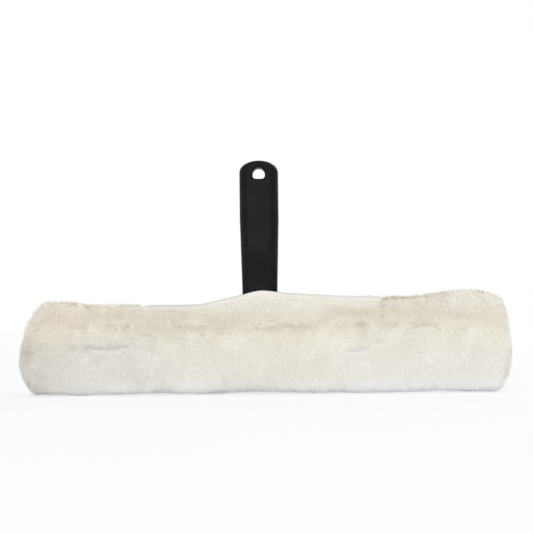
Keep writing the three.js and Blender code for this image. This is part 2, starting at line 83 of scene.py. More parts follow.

# From so far below the fold to so far above it: share of the way, and colour. The darker, warmer band at the
# fold is painted shade, and the palest colours low down are painted light where the pile turns under
FOLD_BELOW, FOLD_ABOVE = 48.75 * MM, 26.25 * MM
SHADE_AND_LIGHT_BANDS = [
    (0.04, (0.99, 0.985, 0.99)),
    (0.12, (0.958, 0.949, 0.94)),
    (0.36, (0.945, 0.935, 0.91)),
    (0.49, (0.952, 0.938, 0.892)),
    (0.60, (0.965, 0.946, 0.892)),
    (0.655, (0.945, 0.924, 0.864)),
    (0.71, (0.912, 0.885, 0.806)),
    (0.76, (0.926, 0.904, 0.846)),
    (0.83, (0.945, 0.93, 0.885)),
    (1.0, (0.945, 0.93, 0.895)),
]
BROAD_SHARE, BROAD_BANDS = 0.25, [(0.3, (0.94, 0.93, 0.915)), (0.7, (0.925, 0.91, 0.865))]
FINE_SHARE, FINE_TINTS = 0.55, [(0.25, (0.96, 0.955, 0.945)), (0.8, (1, 1, 1))]

# Tints from left to right, low down and high up, and where the one passes into the other
TINT_LEFT, TINT_RIGHT, TINT_LOW, TINT_HIGH = -160 * MM, 200 * MM, 40 * MM, 52 * MM
LOW_TINTS = [
    (0.014, (0.88, 0.87, 0.84)),
    (0.083, (0.902, 0.893, 0.862)),
    (0.14, (0.955, 0.95, 0.935)),
    (0.33, (0.975, 0.97, 0.945)),
    (0.43, (0.995, 0.99, 0.965)),
    (1.0, (1, 1, 0.98)),
]
HIGH_TINTS = [
    (0.014, (0.945, 0.93, 0.91)),
    (0.07, (0.975, 0.95, 0.913)),
    (0.125, (1.0, 0.975, 0.94)),
    (0.19, (0.985, 0.968, 0.94)),
    (0.275, (0.955, 0.945, 0.905)),
    (0.36, (0.97, 0.96, 0.94)),
    (0.6, (0.995, 0.985, 0.968)),
    (0.8, (0.985, 0.976, 0.955)),
    (1.0, (0.995, 0.988, 0.968)),
]

# Painted shade along the crest, and darker patches on the front, painted shade in the partings and along the
# fold: middle and half size in millimetres, and tint
CREST_PAINTED_SHADE = (0.965, 0.963, 0.96)
PAINTED_SHADE_PATCHES = [
    ((-106, 37.5), (40, 9), (0.965, 0.965, 0.968)),
    ((-113, 37.3), (25, 3), (0.93, 0.93, 0.935)),
    ((-85, 40.5), (9, 5.5), (0.96, 0.96, 0.965)),
    ((70, 34.6), (11, 2.6), (0.93, 0.93, 0.93)),
    ((84, 39.6), (7, 2.6), (0.945, 0.945, 0.945)),
    ((82, 58), (42, 6.5), (0.963, 0.955, 0.935)),
    ((-160, 42), (16, 11), (0.98, 0.978, 0.975)),
    ((-143, 49), (13, 6), (0.972, 0.97, 0.966)),
]

# Painted light: palest along the bottom, where the pile turns under into shade
BOTTOM_PAINTED_LIGHT, BOTTOM_LIGHT_SHARE, BOTTOM_LIGHT_SHARE_LEFT = (0.985, 0.985, 0.99), 0.85, 0.3

# Sleeve's section: body, and the ridge along its top
BODY_TOP, BODY_SINK, BODY_SQUARENESS = 54 * MM, 1.6 * MM, 2.7
RIDGE_ROUND = 5 * MM
LEFT_HEIGHT, RIGHT_HEIGHT = 66 * MM, 70 * MM
HUMP_RISE, HUMP_LEFT, HUMP_RIGHT = 7 * MM, 45 * MM, 50 * MM
LEFT_SWELL = (2 * MM, SLEEVE_LEFT + 26 * MM, 30 * MM)  # rise, place and reach
RIGHT_SWELL = (4.5 * MM, SLEEVE_RIGHT - 34 * MM, 45 * MM)
RIGHT_SHOULDER, RIGHT_SHOULDER_DROP, RIGHT_SHOULDER_POWER = 22 * MM, 6.2 * MM, 1.3
LEFT_END = {"upper": 21 * MM, "lower": 13 * MM, "middle": 25 * MM, "squareness": 1.65}
RIGHT_END = {"upper": 8 * MM, "lower": 15 * MM, "middle": 29 * MM, "squareness": 2.05}
END_SLIM, END_FLAT, END_BLEND, END_ROUNDED_SHARE = 0.95, 0.35 * MM, 14 * MM, 0.45
END_ROWS, LEFT_ROWS, SLIT_ROWS, RIGHT_ROWS = 25, 70, 170, 78
RIDGE_POINTS, BODY_POINTS = 28, 92
SMOOTHING, END_SMOOTHING = 14, 160

# Cloth: swells as height and size in millimetres, its lowest place, and the seam on top beyond the slit
CLOTH_SWELLS = [(0.8, 42), (0.5, 17), (0.3, 7)]
CLOTH_FLOOR = 0.6 * MM
SEAM_DEPTH, SEAM_END_DEPTH, SEAM_END_REACH, SEAM_HALF_WIDTH = 0.22 * MM, 0.5 * MM, 7 * MM, 2.6 * MM

# Partings in the pile that the photograph shows, in millimetres: start, end, half width and depth
PARTINGS = [
    ((-134, 34.6), (-121, 35.6), 1.9, 1.4),
    ((-121, 35.6), (-108, 35.2), 2.0, 1.8),
    ((-108, 35.2), (-94, 36.6), 1.8, 1.5),
    ((-90, 40), (-80, 36), 4.5, 1.0),
    ((62, 32.0), (74, 33.2), 1.7, 1.5),
    ((80, 36.5), (87, 39.5), 1.6, 1.4),
]
PARTING_HEIGHT, PARTING_REACH, PARTING_WOBBLES = 36 * MM, 10 * MM, [(1.1, 9), (0.7, 3.5)]

# Slit's lips, and the tape that binds their edges
LIP_THICKNESS, NECK_LIP_THICKNESS = 6 * MM, 4.2 * MM
NECK_ROOM, WEB_ROOM, MEETING = 7.4 * MM, 3.9 * MM, 2.5 * MM
NECK_FLAT, NECK_BLEND = 8 * MM, 10 * MM
FOOT_HALF, MEETING_START = 50 * MM, 60 * MM
LIP_CROWN, LIP_OUTSIDE, LIP_END_GAP = 1.1 * MM, 28, 0.3 * MM
LIP_TUCK, LIP_LOW = [(-0.9 * MM, -0.5 * MM), (-0.5 * MM, -0.2 * MM)], LIP_ROOT - 2.4 * MM
SLIT_EDGE = [
    (-88, 64.4), (-60, 64.2), (-43, 64.4), (-32, 67.0), (-18, 70.0), (-11.5, 71.6), (-5.5, 73.4), (0.6, 74.4),
    (7.4, 73.9), (13, 72.8), (22, 71.9), (43, 70.6), (60, 69.6), (72, 69.3), (88, 70.0),
]
HEM_BARE, HEM_DIVE, HEM_DIVE_REACH = 3.9 * MM, 2.2 * MM, 9 * MM
HEM_LEG, HEM_TAPER, HEM_STAND, HEM_TAPE = 4.6 * MM, 0.6, 0.9 * MM, 0.7 * MM
STITCH, STITCH_PITCH, STITCH_END_GAP, THREAD = 2.1 * MM, 3 * MM, 2.8 * MM, 0.42 * MM
LIP_FREE = 56 * MM

# Lining: its half depths, and down its wall, each height and how far it bulges at the rivets
LINING, LINING_HALF = 0.8 * MM, SLIT_HALF + 3 * MM
LINING_AT_BAR, LINING_AT_FOOT, LINING_AT_EDGE = BAR_HIGH.y + 1.4 * MM, 10.2 * MM, 9.6 * MM
LINING_WALL = [(44 * MM, 1.3 * MM), (38 * MM, 1.6 * MM), (28 * MM, 0), (18 * MM, 0)]
LINING_LOW, RIVET_PLACE, RIVET_REACH = BAR_LOW.z - 1.2 * MM, 34 * MM, 9 * MM

# Pile
BACKING = 1.5 * MM
PILE_ROOT = 2.3 * MM
FIBRE_LENGTH, FIBRE_WIDTH, FIBRE_FLOOR = 4.2 * MM, 0.3 * MM, 0.1 * MM
FIBRES_PER_M2 = 4e6
TUFT, TUFT_DEPTH = 2.2 * MM, 0.6 * MM
SEED = 7

# Nap: how far it wanders, leans down, turns into partings, strays and gathers, and its rise in degrees
NAP_WANDER, NAP_RUFFLE, NAP_DOWN, NAP_INTO_PARTING, NAP_STRAY, NAP_GATHER = 0.9, 0.55, 0.45, 1.3, 0.3, 0.5
RISE_LEAST, RISE_SPREAD, RISE_WANDER = 12, 20, 7

# Fastening tapes
TAPE_SINK, TAPE_THICKNESS, TAPE_CORNER, TAPE_BEVEL = 0.35 * MM, 1.15 * MM, 1.2 * MM, 0.25 * MM
NAP_PITCH, NAP_MARGINS, NAP_THICKNESS = 0.95 * MM, (1.6 * MM, 1.4 * MM), 0.12 * MM
HOOK_RISE, HOOK_BOW, HOOK_WIDTH = 1.15 * MM, 0.42 * MM, 0.2 * MM
LOOP_RISE, LOOP_EXTRA, LOOP_BOW, LOOP_WIDTH = 0.9 * MM, 0.5 * MM, 0.55 * MM, 0.12 * MM

# Handle
TIP_ROUND, DOME_RISE, DOME_START, DOME_END = 3.2 * MM, 4.9 * MM, 34 * MM, 8 * MM
GRIP_HALF_WIDTH, GRIP_HALF_DEPTH, GRIP_BEVEL = 14 * MM, 10 * MM, 2.9 * MM
NECK_HALF_WIDTH, NECK_HALF_DEPTH, NECK_BEVEL = 12.7 * MM, 7 * MM, 1.6 * MM
NECK_ABOVE_BAR, STRAIGHT, SWELL = 27 * MM, 42 * MM, 30 * MM
GRIP_POINTS, GRIP_START = 128, BAR_HIGH.z + 0.3 * MM
FOOT_TOP = BAR_HIGH.z + 24 * MM
HOLE_HALF, HOLE_HEIGHT, HOLE_BELOW_TIP, HOLE_CORNER = 4.4 * MM, 8.0 * MM, 5.1 * MM, 2.2 * MM
HOLE_FLARE, HOLE_FLARE_DEPTH, HOLE_FLARE_POWER = 0.95 * MM, 1.7 * MM, 1.6
CUTTER_PLACES = np.linspace(-14, 14, 57) * MM  # through the grip and well past its faces
VOXEL = 0.5 * MM


# Helpers on numbers
def smooth_step(start, end, value):
    t = np.clip((value - start) / (end - start), 0, 1)
    return t * t * (3 - 2 * t)


def bell(distance, reach):
    """1 at no distance and 0 from the reach outwards."""
    return np.clip(1 - (distance / reach) ** 2, 0, None) ** 2


def mix(a, b, share):
    return a + (b - a) * share


def unit(vectors):
    return vectors / np.maximum(np.linalg.norm(vectors, axis=-1, keepdims=True), 1e-12)


def line_lengths(line):
    """How far along a line each of its points is."""
    return np.concatenate([[0], np.cumsum(np.linalg.norm(np.diff(line, axis=0), axis=1))])


def even_points(line, count, start=0.0, end=1.0):
    """A stretch of a line, from one share of its length to another, as so many even points."""
    length = line_lengths(line)
    places = np.linspace(start * length[-1], end * length[-1], count)
    return np.stack([np.interp(places, length, line[:, k]) for k in range(2)], -1)


def with_mirror(half, signs=(-1, 1), closed=True):
    """Half an outline and then its mirror image backwards, with no point where they meet given twice."""
    back = (half * signs)[::-1][1:]
    return np.concatenate([half, back[:-1] if closed else back])


def hashed(cells, seed):
    """A steady value from 0 to 1 for each row of three whole numbers."""
    h = cells[..., 0] * 374761393 + cells[..., 1] * 668265263 + cells[..., 2] * 1442695041 + seed * 974711
    h = (h ^ (h >> 13)) & 0xFFFFFFFF
    h = (h * 1274126177) & 0xFFFFFFFF
    return ((h ^ (h >> 16)) & 0xFFFF) / 0xFFFF


def noise(points, size, seed):
    """Smooth noise from -1 to 1, with bumps of about this size."""
    scaled = points / size
    cell = np.floor(scaled).astype(np.int64)
    t = scaled - cell
    t = t * t * (3 - 2 * t)
    total = 0
    for corner in itertools.product((0, 1), repeat=3):
        weight = np.prod(np.where(corner, t, 1 - t), axis=-1)
        total = total + weight * hashed(cell + np.array(corner), seed)
    return 2 * total - 1


def layered_noise(points, layers, seed):
    """Noise in layers, each of them given as height and size in millimetres."""
    return sum(height * MM * noise(points, size * MM, seed + k) for k, (height, size) in enumerate(layers))


def noise_vectors(points, size, seed):
    return np.stack([noise(points, size, seed + k) for k in range(3)], -1)


def nearest_tuft(points):
    """The scattered tuft centre nearest to each point, and how far off it is."""
    cell = np.floor(points / TUFT).astype(np.int64)
    best = np.full(len(points), np.inf)
    centre = np.zeros_like(points)
    for step in itertools.product((-1, 0, 1), repeat=3):
        other = cell + np.array(step)
        place = (other + np.stack([hashed(other, SEED + 20 + k) for k in range(3)], -1)) * TUFT
        distance = np.linalg.norm(place - points, axis=-1)
        closer = distance < best
        best[closer] = distance[closer]
        centre[closer] = place[closer]
    return centre, best


# Helpers on meshes
def add_piece(name, mesh):
    mesh.shade_smooth()
    piece = bpy.data.objects.new(name, mesh)
    bpy.context.scene.collection.objects.link(piece)
    return piece


def make_object(name, vertices, faces):
    mesh = bpy.data.meshes.new(name)
    mesh.from_pydata([tuple(v) for v in vertices], [], [tuple(f) for f in faces])
    mesh.validate()
    mesh.update()
    return add_piece(name, mesh)


@contextlib.contextmanager
def edited(piece):
    """The piece's mesh, open for changes."""
    shape = bmesh.new()
    shape.from_mesh(piece.data)
    yield shape
    shape.to_mesh(piece.data)
    shape.free()


def face_outwards(piece):
    with edited(piece) as shape:
        bmesh.ops.recalc_face_normals(shape, faces=shape.faces)


def apply_modifiers(piece):
    depsgraph = bpy.context.evaluated_depsgraph_get()
    depsgraph.update()
    final = bpy.data.meshes.new_from_object(piece.evaluated_get(depsgraph))
    piece.modifiers.clear()
    piece.data = final


def boolean(piece, other, operation):
    modifier = piece.modifiers.new("boolean", "BOOLEAN")
    modifier.operation, modifier.object, modifier.solver = operation, other, "EXACT"
    apply_modifiers(piece)
    bpy.data.objects.remove(other)


def thicken(piece, thickness, offset, inner_slot=0):
    """Turns a sheet into a solid, whose far side and rim get the material of the inner slot."""
    solid = piece.modifiers.new("thickness", "SOLIDIFY")
    solid.thickness, solid.offset = thickness, offset
    solid.material_offset, solid.material_offset_rim = inner_slot, inner_slot
    apply_modifiers(piece)


def grid_quads(rows, count, columns):
    """Quads between so many rows of so many points, each from one of these columns to the next."""
    r, i = np.meshgrid(range(rows - 1), columns, indexing="ij")
    j = (i + 1) % count
    here, there = r * count, (r + 1) * count
    return np.stack([here + i, there + i, there + j, here + j], -1).reshape(-1, 4)


def ring_faces(rings, count, first=0):
    """Faces of a closed skin through so many rings of so many points. Its two caps come last."""
    sides = first + grid_quads(rings, count, range(count))[:, [0, 3, 2, 1]]
    last = first + (rings - 1) * count
    return [*sides, range(first + count - 1, first - 1, -1), range(last, last + count)]


def loft(name, rings):
    """A closed piece through rings of points, capped at both ends."""
    count = len(rings[0])
    vertices = [p for ring in rings for p in ring]
    piece = make_object(name, vertices, ring_faces(len(rings), count))
    face_outwards(piece)
    last = len(vertices) - count
    for edge in piece.data.edges:
        a, b = edge.vertices
        edge.use_edge_sharp = max(a, b) < count or min(a, b) >= last
    return piece


# Materials
class Look:
    """The nodes of a material or of the world, with short ways to add what the looks here need."""

    def __init__(self, owner):
        owner.use_nodes = True
        self.nodes, self.links = owner.node_tree.nodes, owner.node_tree.links

    def add(self, kind, **settings):
        node = self.nodes.new("ShaderNode" + kind)
        for name, value in settings.items():
            setattr(node, name, value)
        return node

    def feed(self, node, values):
        """Fills a node's inputs, each with a number or a colour, or from another node."""
        for key, value in values.items():
            if isinstance(value, bpy.types.NodeSocket):
                self.links.new(value, node.inputs[key])
            else:
                node.inputs[key].default_value = value
        return node

    def point(self):
        return self.add("TexCoord").outputs["Object"]

    def split(self, vector):
        return self.feed(self.add("SeparateXYZ"), {0: vector}).outputs

    def noise(self, point, scale, detail):
        node = self.add("TexNoise")
        return self.feed(node, {"Vector": point, "Scale": scale, "Detail": detail}).outputs["Fac"]

    def math(self, operation, *values, clamp=False):
        node = self.add("Math", operation=operation, use_clamp=clamp)
        return self.feed(node, dict(enumerate(values))).outputs[0]

    def product(self, value, *others):
        for other in others:
            value = self.math("MULTIPLY", value, other)
        return value

    def scaled_sum(self, value, other, factor):
        """The value, and the other one times the factor."""
        return self.math("MULTIPLY_ADD", other, factor, value)

    def share(self, value, start, end, low=0, high=1):
        """From low to high while the value goes from the start to the end."""
        limits = {"From Min": start, "From Max": end, "To Min": low, "To Max": high}
        return self.feed(self.add("MapRange"), {"Value": value, **limits}).outputs[0]

    def nearness(self, value, centre, inner, outer):
        """1 within the inner distance of the centre, and 0 from the outer one onwards."""
        return self.share(self.math("ABSOLUTE", self.math("ADD", value, -centre)), outer, inner)

    def ramp(self, value, stops):
        node = self.feed(self.add("ValToRGB"), {"Fac": value})
        elements = node.color_ramp.elements
        while len(elements) < len(stops):
            elements.new(0.5)
        for element, (place, colour) in zip(elements, stops):
            element.position = place
            element.color = (*colour, 1)
        return node.outputs["Color"]

    def mix(self, share, a, b, blend="MIX"):
        node = self.add("Mix", data_type="RGBA", blend_type=blend)
        return self.feed(node, {"Factor": share, 6: a, 7: b}).outputs[2]

    def tint(self, colour, tint, share=1.0):
        return self.mix(share, colour, tint, "MULTIPLY")

    def shade(self, colour, share, shade):
        """The colour, tinted with the shade where the share is 1."""
        return self.tint(colour, self.ramp(share, [(0, (1, 1, 1)), (1, shade)]))

    def bump(self, height, strength, distance):
        node = self.add("Bump")
        return self.feed(node, {"Height": height, "Strength": strength, "Distance": distance}).outputs[0]


def new_material(name, kind="BsdfPrincipled"):
    """A material with one shader of this kind."""
    material = bpy.data.materials.new(name)
    look = Look(material)
    look.nodes.clear()
    output, shader = look.add("OutputMaterial"), look.add(kind)
    look.feed(output, {"Surface": shader.outputs[0]})
    return material, look, shader


def pile_material(name, lift=1.0):
    """Cream pile: a darker, warmer band of painted shade along the fold below the lips, painted light paler
    below, greyer to the left, painted shade on the crest and in patches, and softly mottled.
    """
    material, look, shader = new_material(name)
    point = look.point()
    x, y, z = look.split(point)
    broad = look.noise(point, scale=28, detail=2)
    ruffled = look.scaled_sum(z, broad, 9 * MM)
    across = look.share(x, -FOLD_SPAN, FOLD_SPAN)
    fold = look.ramp(
        across,
        [((0.5 + at * MM / FOLD_SPAN / 2), (height * MM / FOLD_SCALE,) * 3) for at, height in FOLD_HEIGHTS],
    )
    # Painted shade in a darker, warmer band along the fold, and painted light in the palest colours low down
    level = look.share(look.scaled_sum(ruffled, fold, -FOLD_SCALE), -FOLD_BELOW, FOLD_ABOVE)
    colour = look.ramp(level, [(at, tuple(c * lift for c in rgb)) for at, rgb in SHADE_AND_LIGHT_BANDS])
    colour = look.mix(BROAD_SHARE, colour, look.ramp(broad, BROAD_BANDS))
    along = look.scaled_sum(x, look.noise(point, scale=16, detail=1), 40 * MM)
    side = look.share(along, TINT_LEFT, TINT_RIGHT)
    high = look.share(look.scaled_sum(ruffled, x, -0.015), TINT_LOW, TINT_HIGH)
    colour = look.tint(colour, look.mix(high, look.ramp(side, LOW_TINTS), look.ramp(side, HIGH_TINTS)))
    # Painted shade along the crest on top
    crest_shade = look.nearness(y, 0, inner=1.5 * MM, outer=6 * MM)
    colour = look.shade(colour, look.product(crest_shade, look.share(z, 58 * MM, 63 * MM)), CREST_PAINTED_SHADE)
    # Painted shade in patches on the front, in the partings and along the fold
    in_front = look.share(y, 2 * MM, -2 * MM)
    crumpled = look.scaled_sum(z, look.noise(point, scale=110, detail=2), 4 * MM)
    for (at, height), (half_width, half_height), shade in PAINTED_SHADE_PATCHES:
        near_x = look.nearness(x, at * MM, inner=0.35 * half_width * MM, outer=half_width * MM)
        near_z = look.nearness(crumpled, height * MM, inner=0.2 * half_height * MM, outer=half_height * MM)
        colour = look.shade(colour, look.product(near_x, near_z, in_front), shade)
    fine = look.noise(point, scale=420, detail=2)
    colour = look.tint(colour, look.ramp(fine, FINE_TINTS), FINE_SHARE)
    # Painted light: paler towards the bottom, where the pile turns under into shade, less so at the left end
    near_bottom = look.share(z, 13 * MM, 2 * MM, high=BOTTOM_LIGHT_SHARE)
    painted_light_share = look.product(near_bottom, look.share(x, -165 * MM, -90 * MM, low=BOTTOM_LIGHT_SHARE_LEFT))
    colour = look.mix(painted_light_share, colour, (*(c * lift for c in BOTTOM_PAINTED_LIGHT), 1))
    look.feed(shader, {
        "Base Color": colour,
        "Roughness": 0.92,
        "Specular IOR Level": 0.15,
        "Sheen Weight": 0.15,
        "Sheen Roughness": 0.5,
        "Normal": look.bump(look.noise(point, scale=1500, detail=2), strength=0.25, distance=0.3 * MM),
    })
    return material


def plastic_material():
    """Black moulded plastic with a fine grain and a satin shine that varies a little."""
    material, look, shader = new_material("black_moulding")
    point = look.point()
    cloudy = look.noise(point, scale=60, detail=3)
    look.feed(shader, {
        "Base Color": look.ramp(cloudy, [(0.3, (0.0066, 0.0061, 0.0076)), (0.7, (0.0092, 0.0086, 0.0106))]),
        "Specular IOR Level": 0.07,
        "Roughness": look.share(look.noise(point, scale=150, detail=4), 0, 1, low=0.36, high=0.48),
        "Normal": look.bump(look.noise(point, scale=2600, detail=2), strength=0.12, distance=0.1 * MM),
    })
    return material


def metal_material():
    """Drawn aluminium with fine lines along the bar."""
    material, look, shader = new_material("drawn_aluminium")
    lines = look.feed(look.add("Mapping"), {"Scale": (6, 900, 900), "Vector": look.point()})
    streaks = look.noise(lines.outputs[0], scale=1, detail=3)
    look.feed(shader, {
        "Metallic": 1,
        "Base Color": look.ramp(streaks, [(0.3, (0.62, 0.63, 0.65)), (0.7, (0.72, 0.73, 0.75))]),
        "Roughness": look.share(streaks, 0, 1, low=0.3, high=0.5),
    })
    return material


def woven_material(name, light, dark, threads, top_shade_and_left_grey=False):
    """Plain woven tape, with so many threads a metre. With top_shade_and_left_grey, the tape has painted
    shade where it faces up and is greyer to the left.
    """
    material, look, shader = new_material(name)
    point = look.point()
    waves = []
    for direction in "XZ":
        wave = look.add("TexWave", bands_direction=direction)
        look.feed(wave, {"Vector": point, "Scale": threads, "Distortion": 0.6})
        waves.append(wave.outputs["Fac"])
    weave = look.product(*waves)
    colour = look.ramp(weave, [(0.0, dark), (0.6, light)])
    if top_shade_and_left_grey:
        # Painted shade where the tape faces up
        facing_up = look.split(look.add("NewGeometry").outputs["Normal"])["Z"]
        colour = look.tint(colour, look.ramp(facing_up, [(0.6, (1, 1, 1)), (0.95, (0.85, 0.85, 0.85))]))
        # Greyer towards the left
        across = look.share(look.split(point)["X"], -FOLD_SPAN, FOLD_SPAN)
        colour = look.tint(colour, look.ramp(across, [(0.36, (0.915, 0.91, 0.90)), (0.44, (1, 1, 1))]))
    look.feed(shader, {
        "Base Color": colour,
        "Roughness": 0.88,
        "Sheen Weight": 0.2,
        "Normal": look.bump(weave, strength=0.5, distance=0.15 * MM),
    })
    return material


# Sleeve's form
def top_line(x):
    """Height of the sleeve's top, with a hump at the neck, a swell at each end and a sloping shoulder."""
    plain = mix(LEFT_HEIGHT, RIGHT_HEIGHT, smooth_step(-HUMP_LEFT, HUMP_LEFT, x))
    hump = HUMP_RISE * bell(x, np.where(x < 0, HUMP_LEFT, HUMP_RIGHT))
    left, right = (rise * bell(x - place, reach) for rise, place, reach in (LEFT_SWELL, RIGHT_SWELL))
    shoulder = np.clip((x - SLEEVE_RIGHT + RIGHT_SHOULDER) / RIGHT_SHOULDER, 0, 1) ** RIGHT_SHOULDER_POWER
    return plain + hump + left + right - RIGHT_SHOULDER_DROP * shoulder


def in_dive(x):
    """0 along the slit, and up to 1 at its ends, where the hems dive under the cover."""
    return smooth_step(SLIT_HALF - HEM_DIVE_REACH, SLIT_HALF, np.abs(x))


def slit_edge(x):
    """Height of the hems' top edge along the slit."""
    places, heights = np.array(SLIT_EDGE).T * MM
    spread = np.linspace(-4, 4, 9) * MM
    weights = np.array([bell(s, 5 * MM) for s in spread])
    edge = sum(w * np.interp(x + s, places, heights) for w, s in zip(weights, spread)) / weights.sum()
    return edge - HEM_DIVE * in_dive(x)


def off_neck(x):
    return smooth_step(NECK_FLAT, NECK_FLAT + NECK_BLEND, np.abs(x))


def lip_inner(x):
    """How far from the middle a lip's inside is."""
    off_web = smooth_step(FOOT_HALF, MEETING_START, np.abs(x))
    return mix(mix(NECK_ROOM, WEB_ROOM, off_neck(x)), MEETING, off_web)


def lip_outer(x):
    """Half the ridge's thickness, which grows where the lips pass the web and the neck."""
    return lip_inner(x) + mix(NECK_LIP_THICKNESS, LIP_THICKNESS, off_neck(x))


def half_profile(top, ridge):
    """Points from the seam on top, over the ridge's side and round the body to the middle below."""
    turn = np.linspace(math.pi / 2, 0, 8)
    crown = np.stack([ridge - RIDGE_ROUND * (1 - np.cos(turn)), top - RIDGE_ROUND * (1 - np.sin(turn))], -1)
    rise = (BODY_TOP + BODY_SINK) / 2
    start = math.acos((ridge / HALF_DEPTH) ** (BODY_SQUARENESS / 2))
    turn = np.linspace(start, -math.pi / 2, 200)
    power = 2 / BODY_SQUARENESS
    out = HALF_DEPTH * np.abs(np.cos(turn)) ** power
    height = BODY_TOP - rise + rise * np.sign(np.sin(turn)) * np.abs(np.sin(turn)) ** power
    body = np.stack([out, np.maximum(0, height)], -1)
    side = np.concatenate([[[0, top]], crown, body[:1]])
    return np.concatenate([even_points(side, RIDGE_POINTS)[:-1], even_points(body, BODY_POINTS)])


def sleeve_grid():
    """Points of the sleeve's outer form: rows along X, and rings that start and end at the seam on top."""
    left_round = max(LEFT_END["upper"], LEFT_END["lower"])
    right_round = max(RIGHT_END["upper"], RIGHT_END["lower"])
    left_start, right_start = SLEEVE_LEFT + left_round, SLEEVE_RIGHT - right_round
    into = np.sin(np.linspace(0, 1, END_ROWS + 1)[1:] * math.pi / 2)
    rows = np.concatenate(
        [
            left_start - into[::-1] * (left_round - END_FLAT),
            np.linspace(left_start, -SLIT_HALF, LEFT_ROWS),
            np.linspace(-SLIT_HALF, SLIT_HALF, SLIT_ROWS)[1:],
            np.linspace(SLIT_HALF, right_start, RIGHT_ROWS)[1:],
            right_start + into * (right_round - END_FLAT),
        ]
    )
    profiles = [half_profile(float(top), float(ridge)) for top, ridge in zip(top_line(rows), lip_outer(rows))]
    grid = relax(np.array([with_mirror(half) for half in profiles]), SMOOTHING)
    upper, lower, middle = (a[:, None] for a in end_shares(rows))
    rounding = 1 - smooth_step(END_ROUNDED_SHARE, 1, np.minimum(upper, lower))
    grid = mix(grid, relax(grid, END_SMOOTHING), rounding[..., None])
    above = smooth_step(-END_BLEND, END_BLEND, grid[..., 1] - middle)
    grid[..., 0] *= mix(lower, upper, above) ** END_SLIM
    grid[..., 1] = middle + (grid[..., 1] - middle) * np.where(grid[..., 1] > middle, upper, lower)
    across = np.broadcast_to(rows[:, None], grid.shape[:2])
    grid = np.stack([across, grid[..., 0], grid[..., 1]], -1)
    return np.concatenate([closing_rings(grid[0], -1)[::-1], grid, closing_rings(grid[-1], 1)])


def relax(rings, times):
    for _ in range(times):
        rings = (np.roll(rings, 1, axis=1) + 2 * rings + np.roll(rings, -1, axis=1)) / 4
    return rings


def closing_rings(ring, side):
    """Ever smaller rings that close an end of the sleeve."""
    middle = ring.mean(axis=0)
    rings = []
    for keep in (0.75, 0.5, 0.28, 0.08):
        smaller = middle + (ring - middle) * keep
        smaller[:, 0] += side * END_FLAT * (1 - keep**2)
        rings.append(smaller)
    return np.array(rings)


def end_shares(x):
    """How much of its height a row keeps above and below an end's middle, and how high that middle is."""
    found = []
    for end, tip in ((LEFT_END, SLEEVE_LEFT), (RIGHT_END, SLEEVE_RIGHT)):
        power = end["squareness"]
        into = [np.clip(1 - np.abs(x - tip) / end[part], 0, 1) for part in ("upper", "lower")]
        found.append([(1 - i**power) ** (1 / power) for i in into] + [np.full_like(x, end["middle"])])
    return [np.where(x < 0, left, right) for left, right in zip(*found)]


def grid_normals(grid):
    along = np.gradient(grid, axis=0)
    around = (np.roll(grid, -1, axis=1) - np.roll(grid, 1, axis=1)) / 2
    return unit(np.cross(along, around))


def parting_depth(points):
    """How deep the pile is parted on the front at each point."""
    depth = np.zeros(points.shape[:-1])
    near = (points[..., 1] < 0) & (np.abs(points[..., 2] - PARTING_HEIGHT) < PARTING_REACH)
    close = points[near]
    flat = close[:, [0, 2]]
    wobble = layered_noise(close, PARTING_WOBBLES, SEED + 40)
    deepest = np.zeros(len(close))
    for start, end, half_width, most in PARTINGS:
        a, b = np.array(start) * MM, np.array(end) * MM
        t = np.clip(((flat - a) @ (b - a)) / ((b - a) @ (b - a)), 0, 1)
        distance = np.linalg.norm(flat - (a + t[..., None] * (b - a)), axis=-1) + wobble
        deepest = np.maximum(deepest, most * MM * bell(np.maximum(distance, 0), half_width * MM))
    depth[near] = deepest
    return depth


def seam_depth(points):
    """How deep the sewn seam along the top, beyond the slit, draws the cloth in."""
    beyond = np.abs(points[..., 0]) - SLIT_HALF
    depth = (SEAM_DEPTH + SEAM_END_DEPTH * bell(beyond, SEAM_END_REACH)) * (beyond > 0)
    return depth * bell(points[..., 1], SEAM_HALF_WIDTH) * (points[..., 2] > 0.7 * BODY_TOP)


def settle(grid, normals):
    """Lets the form swell and sink as a soft sleeve does, and takes it down to the pile's roots."""
    lift = layered_noise(grid, CLOTH_SWELLS, SEED)
    _, distance = nearest_tuft(grid.reshape(-1, 3))
    sink = (distance.reshape(grid.shape[:-1]) / TUFT - 0.5) * TUFT_DEPTH
    return grid + normals * (lift - sink - parting_depth(grid) - seam_depth(grid) - PILE_ROOT)[..., None]


class Sleeve:
    """The sleeve's cloth surface, from which the cover and both lips are cut."""

    def __init__(self):
        self.outer = sleeve_grid()
        self.normals = grid_normals(self.outer)
        self.grid = settle(self.outer, self.normals)
        self.grid[..., 2] = np.maximum(self.grid[..., 2], CLOTH_FLOOR)
        self.rows, self.count = self.grid.shape[:2]
        self.slit = np.nonzero(np.abs(self.outer[:, 0, 0]) <= SLIT_HALF + 0.01 * MM)[0]

    def side_line(self, row, side, count):
        """The cloth's line from a lip's root up to the seam, on one side, as distance out and height."""
        index = (side * np.arange(count, -1, -1)) % self.count
        return self.grid[row, index][:, [1, 2]] * (side, 1)

    def quads(self):
        """Quads of the cover: all of the surface but the ridge along the slit."""
        quads = grid_quads(self.rows, self.count, range(self.count))
        row, column = np.divmod(quads[:, 0], self.count)
        in_ridge = (column < RIDGE_POINTS - 1) | (column > self.count - RIDGE_POINTS)
        return quads[~(np.isin(row, self.slit[:-1]) & in_ridge)]


